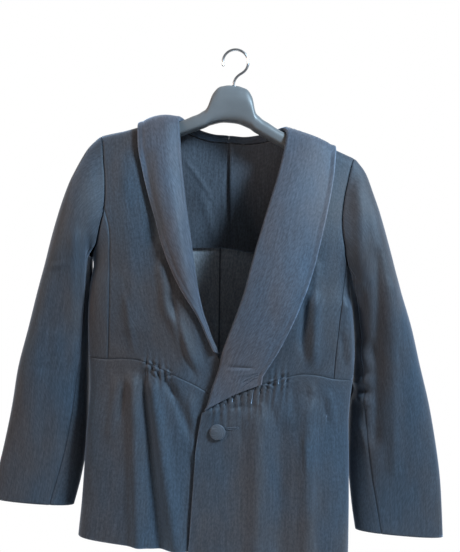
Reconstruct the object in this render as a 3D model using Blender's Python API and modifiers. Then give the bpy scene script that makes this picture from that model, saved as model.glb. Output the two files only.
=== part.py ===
"""A waisted jacket with a shawl collar, hanging on a broad coat hanger.

Metres, +Z up, +X towards the wearer's left, and the front faces -Y.  The origin is
the inside top of the hanger's hook, where it rests on a rail.

The jacket is drawn on one smooth sheet that goes round the body.  A place on the
sheet has a level, its distance down the cloth from the shoulder ridge, and a turn,
which is 0 at the centre front, 1 at the wearer's left side and 2 at the centre back,
and negative on the wearer's right.  Every panel is a piece of that sheet between its
seams.  What lies on a panel is made from the same sheet, moved out or in.
"""

from collections import namedtuple
from math import cos, pi, radians, sin

import bmesh
import bpy
import numpy as np
from mathutils import Matrix, Vector

# Cloth and seams
CLOTH = 0.0018
COLLAR_CLOTH = 0.0024
LINING_CLOTH = 0.0010
SEAM_HALF = 0.0002
TOUCH = 0.0003

# The body sheet: shoulder ridge, its fall to the sides and how square the side is
RIDGE_Z = -0.1095
NECK_HALF = 0.081
SHOULDER_FALL = 0.347
CENTRE_SOFT = 0.030
RIDGE_RADIUS = 0.020
RIDGE_TURN = radians(75)
SQUARENESS = 0.45
FALL_FADE = (0.08, 0.33)

# How the jacket hangs: the hanger is tilted, the cloth below it falls plumb
TILT = radians(5.0)

# Lengths down the cloth
HEM_LEVEL = 0.640
CENTRE_BACK_X = -0.004
SEAM_WAIST_GUESS = 0.390
SIDE_SEAM_TURN = 1.15
SIDE_SEAM_GAP_TURN = 0.0027

# Front overlap: the wearer's right front lies under the left one
UNDER_DEPTH = 0.008
UNDER_FADE = (0.015, 0.060)

# Collar: a rolled edge with a short leg inside and the wide leaf outside
ROLL_RADIUS = 0.0030
LEG_LENGTH = 0.0090
EDGE_CLEAR = 0.0040
LEAF_REST = 0.0029

# Half lining of the back with its knife pleat
LINING_HEM_LEVEL = 0.207
LINING_TOP_LEVEL = 0.028
LINING_HALF = 0.150
LINING_START = 0.0100
PLEAT_TOP_X = 0.002
PLEAT_HEM_X = 0.0135
PLEAT_DEPTH = 0.026

# Button on the skirt's overlap
BUTTON_RADIUS = 0.01135
BUTTON_HEIGHT = 0.0052
BUTTON_X = -0.0007
BUTTON_LEVEL = 0.4656

# Hanger and hook
HOOK_WIRE_RADIUS = 0.0020
HOOK_RADIUS = 0.0190
HANGER_TOP_OFF = 0.0013

Girth = namedtuple("Girth", "level half_width front back")
GIRTHS = [
    Girth(0.000, 0.235, -0.007, -0.007),
    Girth(0.026, 0.235, 0.000, 0.000),
    Girth(0.060, 0.235, 0.009, 0.009),
    Girth(0.110, 0.232, 0.021, 0.019),
    Girth(0.160, 0.215, 0.030, 0.027),
    Girth(0.195, 0.196, 0.034, 0.030),
    Girth(0.225, 0.190, 0.036, 0.031),
    Girth(0.265, 0.194, 0.037, 0.030),
    Girth(0.330, 0.198, 0.034, 0.025),
    Girth(0.370, 0.197, 0.031, 0.023),
    Girth(0.400, 0.194, 0.031, 0.024),
    Girth(0.500, 0.195, 0.036, 0.031),
    Girth(0.640, 0.199, 0.042, 0.039),
    Girth(0.760, 0.203, 0.047, 0.045),
]

# Sideways drift of the plumb cloth below the tilted hanger
Drift = namedtuple("Drift", "z shift")
DRIFTS = [
    Drift(-0.780, -0.0360),
    Drift(-0.600, -0.0285),
    Drift(-0.474, -0.0235),
    Drift(-0.283, -0.0205),
    Drift(-0.190, -0.01656),
    Drift(-0.100, -0.00872),
    Drift(0.000, 0.0000),
    Drift(0.010, 0.00087),
]

# Armhole from the shoulder tip to the underarm, the same at the back
Hole = namedtuple("Hole", "x level")
ARMHOLE = [
    Hole(0.1905, 0.000),
    Hole(0.1840, 0.030),
    Hole(0.1800, 0.055),
    Hole(0.1757, 0.082),
    Hole(0.1736, 0.107),
    Hole(0.1740, 0.129),
    Hole(0.1773, 0.151),
    Hole(0.1820, 0.183),
    Hole(0.1872, 0.198),
    Hole(0.1914, 0.2085),
    Hole(0.2000, 0.213),
]

# Levels of the bodice's rows of points at the side, the same on both sides of a seam
ROW_LEVELS = (
    0.000, 0.005, 0.011, 0.018, 0.028, 0.052, 0.080, 0.104, 0.129, 0.147,
    0.165, 0.183, 0.215, 0.250, 0.290, 0.312, 0.346, 0.364, 0.371, 0.3765,
)

# Places of the back bodice's columns of points, from the centre back
BACK_PLACES = (
    0.020, 0.036, 0.048, 0.057, 0.0635, 0.0685, 0.072, 0.075, 0.078, 0.081,
    0.084, 0.088, 0.098, 0.120, 0.145, 0.168,
)

# Seams that run down the bodice, x at each level, on the wearer's right and left
Seam = namedtuple("Seam", "level x")
PRINCESS_RIGHT = [
    Seam(0.129, 0.1740),
    Seam(0.160, 0.1665),
    Seam(0.220, 0.1637),
    Seam(0.288, 0.1635),
    Seam(0.400, 0.1650),
]
PRINCESS_LEFT = [
    Seam(0.183, 0.1820),
    Seam(0.226, 0.1790),
    Seam(0.270, 0.1743),
    Seam(0.311, 0.1700),
    Seam(0.349, 0.1663),
    Seam(0.400, 0.1650),
]
SIDE_BACK_RIGHT = [
    Seam(0.129, 0.1740),
    Seam(0.170, 0.1660),
    Seam(0.250, 0.1600),
    Seam(0.400, 0.1580),
]
SIDE_BACK_LEFT = [
    Seam(0.183, 0.1820),
    Seam(0.215, 0.1740),
    Seam(0.270, 0.1640),
    Seam(0.400, 0.1580),
]

# Waist seam, x measured towards the panel's own side of the midline
Waist = namedtuple("Waist", "x level")
WAIST = [
    Waist(-0.035, 0.4480),
    Waist(-0.025, 0.4405),
    Waist(-0.016, 0.4340),
    Waist(-0.004, 0.4256),
    Waist(0.008, 0.4180),
    Waist(0.022, 0.4098),
    Waist(0.036, 0.4028),
    Waist(0.055, 0.3950),
    Waist(0.070, 0.3893),
    Waist(0.086, 0.3830),
    Waist(0.101, 0.3775),
    Waist(0.117, 0.3732),
    Waist(0.140, 0.3728),
    Waist(0.165, 0.3762),
    Waist(0.1965, 0.3770),
]
WAIST_HALF = 0.1965
BACK_WAIST_LEVEL = 0.374

# Front edges below the collar
Edge = namedtuple("Edge", "level x")
OVER_SKIRT_EDGE = [
    Edge(0.430, -0.0225),
    Edge(0.458, -0.0270),
    Edge(0.490, -0.0305),
    Edge(0.560, -0.0330),
    Edge(0.660, -0.0360),
]
UNDER_EDGE = [
    Edge(0.360, 0.0020),
    Edge(0.375, -0.0060),
    Edge(0.395, -0.0140),
    Edge(0.415, -0.0210),
    Edge(0.440, -0.0265),
    Edge(0.500, -0.0300),
    Edge(0.660, -0.0310),
]

# Collar from the centre back over the shoulder to the front: rolled edge and free
# edge of the leaf, x away from the midline, level negative on the back
Station = namedtuple("Station", "roll_x roll_level edge_x edge_level")
COLLAR_LEFT = [
    Station(0.0002, -0.0460, 0.0002, -0.111),
    Station(0.0220, -0.0435, 0.0420, -0.109),
    Station(0.0430, -0.0345, 0.0820, -0.100),
    Station(0.0620, -0.0225, 0.1160, -0.082),
    Station(0.0755, -0.0100, 0.1410, -0.055),
    Station(0.0835, 0.0030, 0.1540, -0.022),
    Station(0.0858, 0.0200, 0.1585, 0.012),
    Station(0.0845, 0.0400, 0.1590, 0.042),
    Station(0.0815, 0.0630, 0.1570, 0.067),
    Station(0.0760, 0.0940, 0.1525, 0.098),
    Station(0.0695, 0.1220, 0.1480, 0.126),
    Station(0.0625, 0.1500, 0.1430, 0.155),
    Station(0.0550, 0.1790, 0.1385, 0.180),
    Station(0.0475, 0.2080, 0.1340, 0.204),
    Station(0.0395, 0.2400, 0.1255, 0.238),
    Station(0.0320, 0.2670, 0.1160, 0.266),
    Station(0.0235, 0.2920, 0.1065, 0.291),
    Station(0.0150, 0.3150, 0.0960, 0.315),
    Station(0.0075, 0.3360, 0.0850, 0.338),
    Station(0.0020, 0.3540, 0.0745, 0.357),
    Station(-0.0010, 0.3720, 0.0670, 0.370),
    Station(-0.0070, 0.3930, 0.0625, 0.378),
    Station(-0.0140, 0.4130, 0.0605, 0.382),
    Station(-0.0205, 0.4300, 0.0595, 0.385),
]
COLLAR_RIGHT = [
    Station(0.0002, -0.0460, 0.0002, -0.111),
    Station(0.0220, -0.0435, 0.0380, -0.109),
    Station(0.0430, -0.0345, 0.0720, -0.100),
    Station(0.0600, -0.0225, 0.0980, -0.083),
    Station(0.0705, -0.0100, 0.1180, -0.058),
    Station(0.0760, 0.0030, 0.1290, -0.028),
    Station(0.0765, 0.0160, 0.1335, 0.004),
    Station(0.0735, 0.0350, 0.1325, 0.028),
    Station(0.0695, 0.0600, 0.1280, 0.055),
    Station(0.0640, 0.0950, 0.1190, 0.089),
    Station(0.0580, 0.1300, 0.1085, 0.127),
    Station(0.0520, 0.1650, 0.0970, 0.164),
    Station(0.0465, 0.1950, 0.0880, 0.195),
    Station(0.0415, 0.2250, 0.0770, 0.226),
    Station(0.0365, 0.2540, 0.0630, 0.256),
    Station(0.0320, 0.2770, 0.0500, 0.278),
    Station(0.0265, 0.2980, 0.0370, 0.297),
    Station(0.0195, 0.3170, 0.0285, 0.3125),
    Station(0.0140, 0.3320, 0.0220, 0.3270),
    Station(0.0070, 0.3466, 0.0145, 0.3425),
    Station(0.0035, 0.3545, 0.0105, 0.3510),
]

# Height of the leaf over the panel, along the collar from its start to its end
Lift = namedtuple("Lift", "along middle edge")
LIFT_LEFT = [
    Lift(0.00, 0.0045, 0.0031),
    Lift(0.25, 0.0065, 0.0033),
    Lift(0.60, 0.0080, 0.0034),
    Lift(0.85, 0.0060, 0.0032),
    Lift(1.00, 0.0032, 0.0030),
]
LIFT_RIGHT = [
    Lift(0.00, 0.0045, 0.0031),
    Lift(0.25, 0.0080, 0.0040),
    Lift(0.60, 0.0110, 0.0055),
    Lift(0.80, 0.0065, 0.0042),
    Lift(1.00, 0.0038, 0.0036),
]

# Sleeve rings from the armhole to the cuff.  Outer and inner are the ring's ends
# seen from the front, inner_y how far the inner end lies behind, front and back the
# half depths, and spread is added to the left sleeve's outer end.
Ring = namedtuple("Ring", "outer_x outer_z inner_x inner_z inner_y front back spread")
RINGS = [
    Ring(0.1912, -0.1468, 0.1940, -0.3290, 0.000, 0.040, 0.037, 0.000),
    Ring(0.2095, -0.1680, 0.1950, -0.3330, 0.000, 0.046, 0.043, 0.000),
    Ring(0.2240, -0.2010, 0.1955, -0.3370, 0.001, 0.050, 0.047, 0.000),
    Ring(0.2372, -0.2420, 0.1960, -0.3440, 0.003, 0.052, 0.049, 0.001),
    Ring(0.2492, -0.2860, 0.1968, -0.3560, 0.006, 0.052, 0.049, 0.002),
    Ring(0.2620, -0.3360, 0.1990, -0.3820, 0.010, 0.050, 0.048, 0.003),
    Ring(0.2765, -0.3900, 0.2018, -0.4240, 0.014, 0.046, 0.046, 0.006),
    Ring(0.2890, -0.4450, 0.2015, -0.4700, 0.017, 0.042, 0.043, 0.008),
    Ring(0.3010, -0.5000, 0.1990, -0.5180, 0.019, 0.038, 0.039, 0.011),
    Ring(0.3085, -0.5560, 0.1990, -0.5680, 0.020, 0.034, 0.034, 0.015),
    Ring(0.3180, -0.6100, 0.2010, -0.6180, 0.019, 0.029, 0.029, 0.015),
    Ring(0.3270, -0.6580, 0.2070, -0.6640, 0.014, 0.024, 0.024, 0.012),
    Ring(0.3340, -0.7000, 0.2140, -0.7020, 0.008, 0.020, 0.020, 0.009),
]
SECTION_POWER = 0.85
LOOP_FADE = 2.6
FRONT_SEAM = 0.80
CUFF_FRONT_SEAM = 0.70
BACK_SEAM = 0.62

# Largest folds on the front and back: a straight soft ridge, or a groove where the
# height is negative, from one place to another, side +1 front and -1 back
Fold = namedtuple("Fold", "side x0 level0 x1 level1 width height")
FOLDS = [
    Fold(1, -0.0900, 0.215, -0.0760, 0.320, 0.008, 0.0025),
    Fold(1, -0.0760, 0.290, -0.0300, 0.392, 0.009, 0.0040),
    Fold(1, -0.1260, 0.385, -0.1040, 0.680, 0.010, 0.0045),
    Fold(1, -0.1140, 0.380, -0.0700, 0.680, 0.009, -0.0040),
    Fold(1, -0.1040, 0.385, -0.0420, 0.680, 0.011, 0.0045),
    Fold(1, -0.0800, 0.391, -0.0290, 0.490, 0.008, -0.0025),
    Fold(1, 0.1190, 0.250, 0.1210, 0.365, 0.007, -0.0020),
    Fold(1, 0.1370, 0.240, 0.1350, 0.372, 0.009, 0.0028),
    Fold(1, 0.1290, 0.400, 0.1360, 0.680, 0.012, 0.0045),
    Fold(1, 0.0900, 0.430, 0.0980, 0.680, 0.013, -0.0030),
    Fold(1, 0.0550, 0.420, 0.0620, 0.680, 0.013, 0.0035),
    Fold(-1, -0.1150, 0.390, -0.1230, 0.680, 0.014, 0.0045),
    Fold(-1, -0.0450, 0.390, -0.0500, 0.680, 0.014, 0.0040),
    Fold(-1, 0.0500, 0.390, 0.0560, 0.680, 0.014, 0.0042),
    Fold(-1, 0.1150, 0.390, 0.1220, 0.680, 0.014, 0.0045),
]
FOLD_END = 0.030

# Gathers at the waist seam on each side: from the first to the last place, with
# their height and reach in the skirt, and in the bodice from where the collar ends
Gather = namedtuple("Gather", "first last spacing height reach above_first above_height above_reach")
GATHERS = {
    1: Gather(-0.014, 0.102, 0.0097, 0.0014, 0.030, 0.066, 0.0011, 0.014),
    -1: Gather(0.068, 0.112, 0.0088, 0.0012, 0.026, 0.068, 0.0010, 0.012),
}
GATHER_END = 0.006

# Hanger: top, underside and half thickness across its width
Arm = namedtuple("Arm", "x top bottom thick")
ARMS = [
    Arm(0.000, -0.0525, -0.1080, 0.0150),
    Arm(0.013, -0.0540, -0.1088, 0.0150),
    Arm(0.025, -0.0605, -0.1125, 0.0150),
    Arm(0.0315, -0.0725, -0.1150, 0.0149),
    Arm(0.0350, -0.0855, -0.1172, 0.0148),
    Arm(0.0440, -0.0965, -0.1215, 0.0146),
    Arm(0.0580, -0.1045, -0.1280, 0.0144),
    Arm(0.0740, -0.1130, -0.1352, 0.0142),
    Arm(0.0920, -0.1188, -0.1430, 0.0142),
]
ARM_START_X = 0.106
ARM_END_X = 0.170
ARM_DEPTH = 0.030
ARM_DEPTH_AT_END = 0.020
ARM_CLEAR = 0.0035


def column(rows, name):
    """One named column of a table, as an array."""
    return np.array([getattr(row, name) for row in rows], float)


def smooth(at, rows, key, value):
    """Read a table's value at a key along a smooth curve through its rows."""
    knots = column(rows, key)
    values = column(rows, value)
    return smooth_curve(at, knots, values)


def smooth_curve(at, knots, values):
    """Cubic curve through the values, with slopes averaged from both sides."""
    at = np.asarray(at, float)
    spans = np.diff(knots)
    rates = np.diff(values) / spans
    inner = (rates[:-1] * spans[1:] + rates[1:] * spans[:-1]) / (spans[1:] + spans[:-1])
    slopes = np.concatenate([rates[:1], inner, rates[-1:]])
    index = np.clip(np.searchsorted(knots, at) - 1, 0, len(knots) - 2)
    part = (at - knots[index]) / spans[index]
    held = np.clip(part, 0, 1)
    rest = 1 - held
    start = values[index] * (1 + 2 * held) * rest**2 + spans[index] * slopes[index] * held * rest**2
    end_slope = spans[index] * slopes[index + 1]
    end = values[index + 1] * held**2 * (3 - 2 * held) - end_slope * held**2 * rest
    past = (part - held) * spans[index]
    return start + end + past * np.where(part < 0, slopes[index], slopes[index + 1])


def ease(value, start, end):
    """0 before start, 1 after end and a soft step between."""
    part = np.clip((np.asarray(value, float) - start) / (end - start), 0, 1)
    return part * part * (3 - 2 * part)


def half_width(level):
    return smooth(level, GIRTHS, "level", "half_width")


def turn_at(x, level, back=False):
    """The turn of the place that is x from the midline at a level."""
    share = np.clip(np.abs(x) / half_width(level), 0, 1)
    turn = 1 - (np.arccos(share) * 2 / pi) ** SQUARENESS
    if back:
        turn = 2 - turn
    return np.where(np.asarray(x) < 0, -turn, turn)


def body(turn, level):
    """A point of the body sheet."""
    past_side = np.abs(turn) > 1
    to_side = (pi / 2) * np.abs(1 - np.abs(turn)) ** (1 / SQUARENESS)
    rolled = np.minimum(level / RIDGE_RADIUS, RIDGE_TURN)
    below = np.maximum(level - RIDGE_RADIUS * RIDGE_TURN, 0)
    fullness = np.where(past_side, smooth(level, GIRTHS, "level", "back"),
                        smooth(level, GIRTHS, "level", "front"))
    depth = RIDGE_RADIUS * np.sin(rolled) + np.where(below > 0, fullness, 0)
    x = np.sign(turn) * half_width(level) * np.cos(to_side)
    y = np.where(past_side, 1, -1) * np.sin(to_side) ** SQUARENESS * depth
    fall = np.hypot(x, CENTRE_SOFT) - np.hypot(NECK_HALF, CENTRE_SOFT)
    fade = 1 - ease(level, *FALL_FADE)
    z = RIDGE_Z - RIDGE_RADIUS * (1 - np.cos(rolled)) - below - SHOULDER_FALL * fall * fade
    return np.stack(np.broadcast_arrays(x, y, z), -1)


def body_normal(turn, level):
    """The sheet's outward direction, from its change to either side of the place."""
    step_turn = 0.002
    step_level = 0.0002
    lower = np.maximum(level - step_level, 0)
    down = body(turn, level + step_level) - body(turn, lower)
    across = body(turn + step_turn, level) - body(turn - step_turn, level)
    normal = np.cross(down, across)
    return normal / np.linalg.norm(normal, axis=-1, keepdims=True)


def fold_height(turn, level):
    """How far the largest folds lift the cloth at a place."""
    x = body(turn, level)[..., 0]
    facing = np.where(np.abs(turn) <= 1, 1, -1)
    height = np.zeros(np.broadcast(turn, level).shape)
    for fold in FOLDS:
        run_x = fold.x1 - fold.x0
        run_level = fold.level1 - fold.level0
        length = np.hypot(run_x, run_level)
        along = ((x - fold.x0) * run_x + (level - fold.level0) * run_level) / length
        across = ((x - fold.x0) * run_level - (level - fold.level0) * run_x) / length
        ends = ease(along, 0, FOLD_END) * (1 - ease(along, length - FOLD_END, length))
        crest = fold.height * np.exp(-(across / fold.width) ** 2) * ends
        height = height + np.where(facing == fold.side, crest, 0)
    return height


def gather_places(gather):
    """Places of the crests and troughs in turn, unevenly spaced."""
    count = int(round((gather.last - gather.first) / gather.spacing)) * 2
    steps = np.arange(count + 1)
    even = gather.first + (gather.last - gather.first) * steps / count
    return even + 0.0007 * np.sin(1.9 * steps) * np.sin(pi * steps / count)


def gather_height(turn, level):
    """How far the gathers lift or sink the cloth beside the waist seam."""
    x = body(turn, level)[..., 0]
    height = np.zeros(np.broadcast(turn, level).shape)
    for side, gather in GATHERS.items():
        own_x = x * side
        places = gather_places(gather)
        step = np.interp(own_x, places, np.arange(len(places)))
        wave = np.cos(pi * step) * (0.8 + 0.2 * np.sin(2.3 * step))
        away = level - waist_level(turn, side)
        first = np.where(away > 0, gather.first, gather.above_first)
        ends = ease(own_x - first, 0, GATHER_END)
        ends = ends * (1 - ease(own_x, gather.last - GATHER_END, gather.last))
        reach = np.where(away > 0, gather.reach, gather.above_reach)
        most = np.where(away > 0, gather.height, gather.above_height)
        near = np.where(np.abs(turn) <= 1, np.exp(-(away / reach) ** 2), 0)
        height = height + most * wave * ends * near
    return height


def under_front(turn, level):
    """How far the wearer's right front lies behind the left one."""
    own_side = -body(turn, level)[..., 0]
    near = 1 - ease(own_side, *UNDER_FADE)
    return -UNDER_DEPTH * np.where(np.abs(turn) <= 1, near, 0)


def on_body(turn, level, out=0.0, under=False, gathered=False):
    """A point of the folded cloth, moved out by a distance."""
    turn, level = np.broadcast_arrays(np.asarray(turn, float), np.asarray(level, float))
    lift = fold_height(turn, level) + out
    if gathered:
        lift = lift + gather_height(turn, level)
    if under:
        lift = lift + under_front(turn, level)
    return body(turn, level) + body_normal(turn, level) * lift[..., None]


def hung(points):
    """Tilt the jacket with its hanger and let the cloth below fall plumb."""
    x, y, z = points[..., 0], points[..., 1], points[..., 2]
    shift = smooth(z, DRIFTS, "z", "shift")
    return np.stack([x * cos(TILT) + shift, y, z * cos(TILT) - x * sin(TILT)], -1)


def waist_level(turn, side):
    """Level of the waist seam, dipping to a point at the centre front."""
    size = np.abs(turn)
    own = np.sign(turn) * side
    to_side = (pi / 2) * np.abs(1 - np.minimum(size, 1)) ** (1 / SQUARENESS)
    x = own * WAIST_HALF * np.cos(to_side)
    front = smooth(x, WAIST, "x", "level")
    side_level = WAIST[-1].level
    back = side_level + (BACK_WAIST_LEVEL - side_level) * ease(size, 1.0, 1.6)
    return np.where(size <= 1, front, back)


def hole_turn(level):
    """Turn of the armhole's front edge at a level."""
    levels = column(ARMHOLE, "level")
    turns = turn_at(column(ARMHOLE, "x"), levels)
    return smooth_curve(level, levels, turns)


def hole_level(turn):
    """Level of the armhole's lower edge at a turn, the same in front and behind."""
    levels = column(ARMHOLE, "level")[3:]
    turns = turn_at(column(ARMHOLE, "x")[3:], levels)
    levels = np.concatenate([levels, levels[-2:-1]])
    turns = np.concatenate([turns, 2 - turns[-2:-1]])
    near = 1 - np.abs(1 - np.abs(turn))
    return smooth_curve(near, turns, levels)


def seam_turn(level, rows, side, back=False, inset=0.0):
    """Turn of a seam that runs down the bodice, moved towards the side by inset."""
    x = smooth(level, rows, "level", "x") + inset
    return side * turn_at(x, level, back)


def collar_rows(side):
    return COLLAR_LEFT if side > 0 else COLLAR_RIGHT


def roll_x(level, side):
    """Rolled edge's distance from the midline at a level of the front."""
    rows = [row for row in collar_rows(side) if row.roll_level > 0]
    return smooth(level, rows, "roll_level", "roll_x")


def neck_level(x, side, distance):
    """Level of a line round the back neck, at a distance from the collar's roll."""
    rows = [row for row in collar_rows(side) if row.roll_level < 0.01]
    roll = np.stack([column(rows, "roll_x"), column(rows, "roll_level")], -1)
    edge = np.stack([column(rows, "edge_x"), column(rows, "edge_level")], -1)
    run = edge - roll
    line = roll + run / np.linalg.norm(run, axis=1, keepdims=True) * distance
    curve = smooth_curve(np.abs(x), line[:, 0], -line[:, 1])
    return np.where(np.abs(x) < line[-1, 0], np.maximum(curve, 0), 0)


def front_edge_x(level, side):
    """The front bodice's free edge, x measured towards its own side."""
    rolled = roll_x(level, side) + EDGE_CLEAR
    if side > 0:
        return rolled
    free = smooth(level, UNDER_EDGE, "level", "x")
    part = ease(level, 0.345, 0.375)
    return rolled * (1 - part) + free * part


def steps_from(widths):
    """Shares from 0 to 1 in steps of the given widths."""
    places = np.concatenate([[0], np.cumsum(widths)])
    return places / places[-1]


def cosine_steps(count):
    """Steps from 0 to 1, closer together near both ends."""
    return 0.5 - 0.5 * np.cos(np.linspace(0, pi, count + 1))


def panel(first, last, top, bottom, across, down):
    """Turns and levels of a panel between two edges, its top and its bottom."""
    across = across[None, :]
    down = down[:, None]
    level = 0.2 + 0.0 * across * down
    for _ in range(14):
        turn = (1 - across) * first(level) + across * last(level)
        level = (1 - down) * top(turn) + down * bottom(turn)
    return turn, level


def waist_places(side, covered_step=1):
    """Places along the front waist seam where both its panels have a line of points."""
    gather = GATHERS[side]
    waves = gather_places(gather)
    covered = waves < gather.above_first - 0.004
    waves = np.concatenate([waves[covered][::covered_step], waves[~covered]])
    before = np.linspace(-0.018, gather.first - 0.012, 6) if side < 0 else []
    after = np.linspace(gather.last + 0.014, 0.166, 4)
    return np.concatenate([before, waves, after])


def shares_of(places, first, last):
    """Shares between two turns of the places along the waist, with both ends."""
    turns = turn_at(places, SEAM_WAIST_GUESS)
    inside = turns[(turns > first + 0.01) & (turns < last - 0.01)]
    return (np.concatenate([[first], inside, [last]]) - first) / (last - first)


def new_material(name, colour, roughness, metallic=0.0):
    material = bpy.data.materials.new(name)
    material.use_nodes = True
    shader = material.node_tree.nodes["Principled BSDF"]
    shader.inputs["Base Color"].default_value = (*colour, 1.0)
    shader.inputs["Roughness"].default_value = roughness
    shader.inputs["Metallic"].default_value = metallic
    return material


def srgb(red, green, blue):
    """Linear colour from the three values that a screen shows, 0 to 255."""
    shown = np.array([red, green, blue]) / 255
    linear = np.where(shown <= 0.04045, shown / 12.92, ((shown + 0.055) / 1.055) ** 2.4)
    return tuple(float(value) for value in linear)


def add_object(name, mesh, material, collection):
    mesh.materials.append(material)
    made = bpy.data.objects.new(name, mesh)
    collection.objects.link(made)
    return made


def loft(name, rings, strip_caps, material, collection):
    """Join closed rings of points into one solid and close its two ends."""
    count = rings.shape[1]
    shell = bmesh.new()
    rows = [[shell.verts.new(point) for point in ring] for ring in rings]
    for lower, upper in zip(rows[:-1], rows[1:]):
        for index in range(count):
            after = (index + 1) % count
            shell.faces.new((lower[index], lower[after], upper[after], upper[index]))
    for row in (rows[0], rows[-1]):
        if strip_caps:
            for index in range(count // 2 - 1):
                far = count - 1 - index
                shell.faces.new((row[index], row[index + 1], row[far - 1], row[far]))
        else:
            shell.faces.new(row)
    bmesh.ops.triangulate(shell, faces=shell.faces[:], quad_method="BEAUTY")
    bmesh.ops.recalc_face_normals(shell, faces=shell.faces[:])
    if shell.calc_volume(signed=True) < 0:
        bmesh.ops.reverse_faces(shell, faces=shell.faces[:])
    mesh = bpy.data.meshes.new(name)
    shell.to_mesh(mesh)
    shell.free()
    mesh.shade_smooth()
    mesh.set_sharp_from_angle(angle=radians(45))
    return add_object(name, mesh, material, collection)


def wall(name, outer, inner, material, collection):
    """A cloth wall between its outer and inner grids of points."""
    rings = np.concatenate([outer, inner[:, ::-1]], axis=1)
    return loft(name, rings, True, material, collection)


def body_wall(name, turn, level, material, collection, under=False):
    outer = hung(on_body(turn, level, CLOTH / 2, under, True))
    inner = hung(on_body(turn, level, -CLOTH / 2, under, True))
    return wall(name, outer, inner, material, collection)


def princess(level, side, inset):
    rows = PRINCESS_LEFT if side > 0 else PRINCESS_RIGHT
    return seam_turn(level, rows, side, inset=inset)


def join_level(side):
    """Level where the princess and back seams meet the armhole."""
    return (PRINCESS_LEFT if side > 0 else PRINCESS_RIGHT)[0].level


def side_back(level, side, inset):
    rows = SIDE_BACK_LEFT if side > 0 else SIDE_BACK_RIGHT
    return seam_turn(level, rows, side, back=True, inset=inset)


def row_shares():
    return np.array(ROW_LEVELS) / ROW_LEVELS[-1]


def make_front_bodice(side, material, collection):
    """Front panel from the collar's roll to the armhole and the princess seam."""
    def free_edge(level):
        x = front_edge_x(level, side)
        return side * turn_at(x, level)

    def side_edge(level):
        hole = side * (hole_turn(level) - 0.0012)
        seam = princess(level, side, -SEAM_HALF)
        return np.where(level < join_level(side) - 0.0005, hole, seam)

    def top(turn):
        return SEAM_HALF + 0 * turn

    def bottom(turn):
        return waist_level(turn, side) - SEAM_HALF

    first = turn_at(-0.0169, SEAM_WAIST_GUESS) if side > 0 else turn_at(-0.0240, SEAM_WAIST_GUESS)
    across = shares_of(waist_places(side, 2), first, turn_at(0.1650, SEAM_WAIST_GUESS))
    turn, level = panel(free_edge, side_edge, top, bottom, across, row_shares())
    name = "front_bodice_left" if side > 0 else "front_bodice_right"
    return body_wall(name, turn, level, material, collection, side < 0)


def make_side_bodice(side, material, collection):
    """Side panel from the princess seam round under the arm to the back seam."""
    join = join_level(side)
    shares = row_shares()
    shares = np.append(join / ROW_LEVELS[-1], shares[np.array(ROW_LEVELS) > join + 0.001])[:, None]
    down = (shares - shares[0]) / (1 - shares[0])
    across = cosine_steps(10)[None, :]
    level = 0.3 + 0.0 * across * down
    for _ in range(14):
        turn = (1 - across) * princess(level, side, SEAM_HALF)
        turn = turn + across * side_back(level, side, SEAM_HALF)
        even = shares * (waist_level(turn, side) - SEAM_HALF)
        rise = hole_level(turn) + SEAM_HALF - shares[0] * waist_level(turn, side)
        level = even + rise * (1 - down) ** 2
    name = "side_bodice_left" if side > 0 else "side_bodice_right"
    return body_wall(name, turn, level, material, collection)


def make_back_bodice(side, material, collection):
    """Back panel from the centre back seam to the armhole and the back seam."""
    def centre(level):
        x = CENTRE_BACK_X + side * SEAM_HALF
        turn = 2 - turn_at(abs(x), level)
        return np.where(x * side < 0, 4 - turn, turn) * side

    def side_edge(level):
        hole = 2 - hole_turn(level) + 0.0012
        seam = side * side_back(level, side, -SEAM_HALF)
        return side * np.where(level < join_level(side) - 0.0005, hole, seam)

    def top(turn):
        x = body(turn, 0.03 + 0 * turn)[..., 0]
        return neck_level(x, side, EDGE_CLEAR) + SEAM_HALF

    def bottom(turn):
        return waist_level(turn, side) - SEAM_HALF

    turns = turn_at(np.array(BACK_PLACES), 0.0) / turn_at(ARMHOLE[0].x, 0.0)
    across = np.concatenate([[0], turns, [1]])
    kept = [level < 0.35 or level == ROW_LEVELS[-1] for level in ROW_LEVELS]
    turn, level = panel(centre, side_edge, top, bottom, across, row_shares()[kept])
    name = "back_bodice_left" if side > 0 else "back_bodice_right"
    return body_wall(name, turn, level, material, collection)


def skirt_top(turn, side):
    return waist_level(turn, side) + SEAM_HALF


def hem(turn):
    return HEM_LEVEL + 0 * turn


def make_front_skirt(side, material, collection):
    """Front skirt from its free edge to the seam just behind the side."""
    rows = OVER_SKIRT_EDGE if side > 0 else UNDER_EDGE

    def free_edge(level):
        x = smooth(level, rows, "level", "x")
        return side * turn_at(x, level)

    def side_edge(level):
        return side * (SIDE_SEAM_TURN - SIDE_SEAM_GAP_TURN) + 0 * level

    def top(turn):
        return skirt_top(turn, side)

    last = SIDE_SEAM_TURN - SIDE_SEAM_GAP_TURN
    first_x = -0.0228 if side > 0 else -0.0265
    across = shares_of(waist_places(side), turn_at(first_x, SEAM_WAIST_GUESS), last)
    beyond = np.linspace(across[-2], 1, 6)[1:-1]
    across = np.concatenate([across[:-1], beyond, [1]])
    down = steps_from([4, 6, 9, 14, 22, 34, 45, 50, 50])
    turn, level = panel(free_edge, side_edge, top, hem, across, down)
    name = "front_skirt_left" if side > 0 else "front_skirt_right"
    return body_wall(name, turn, level, material, collection, side < 0)


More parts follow.
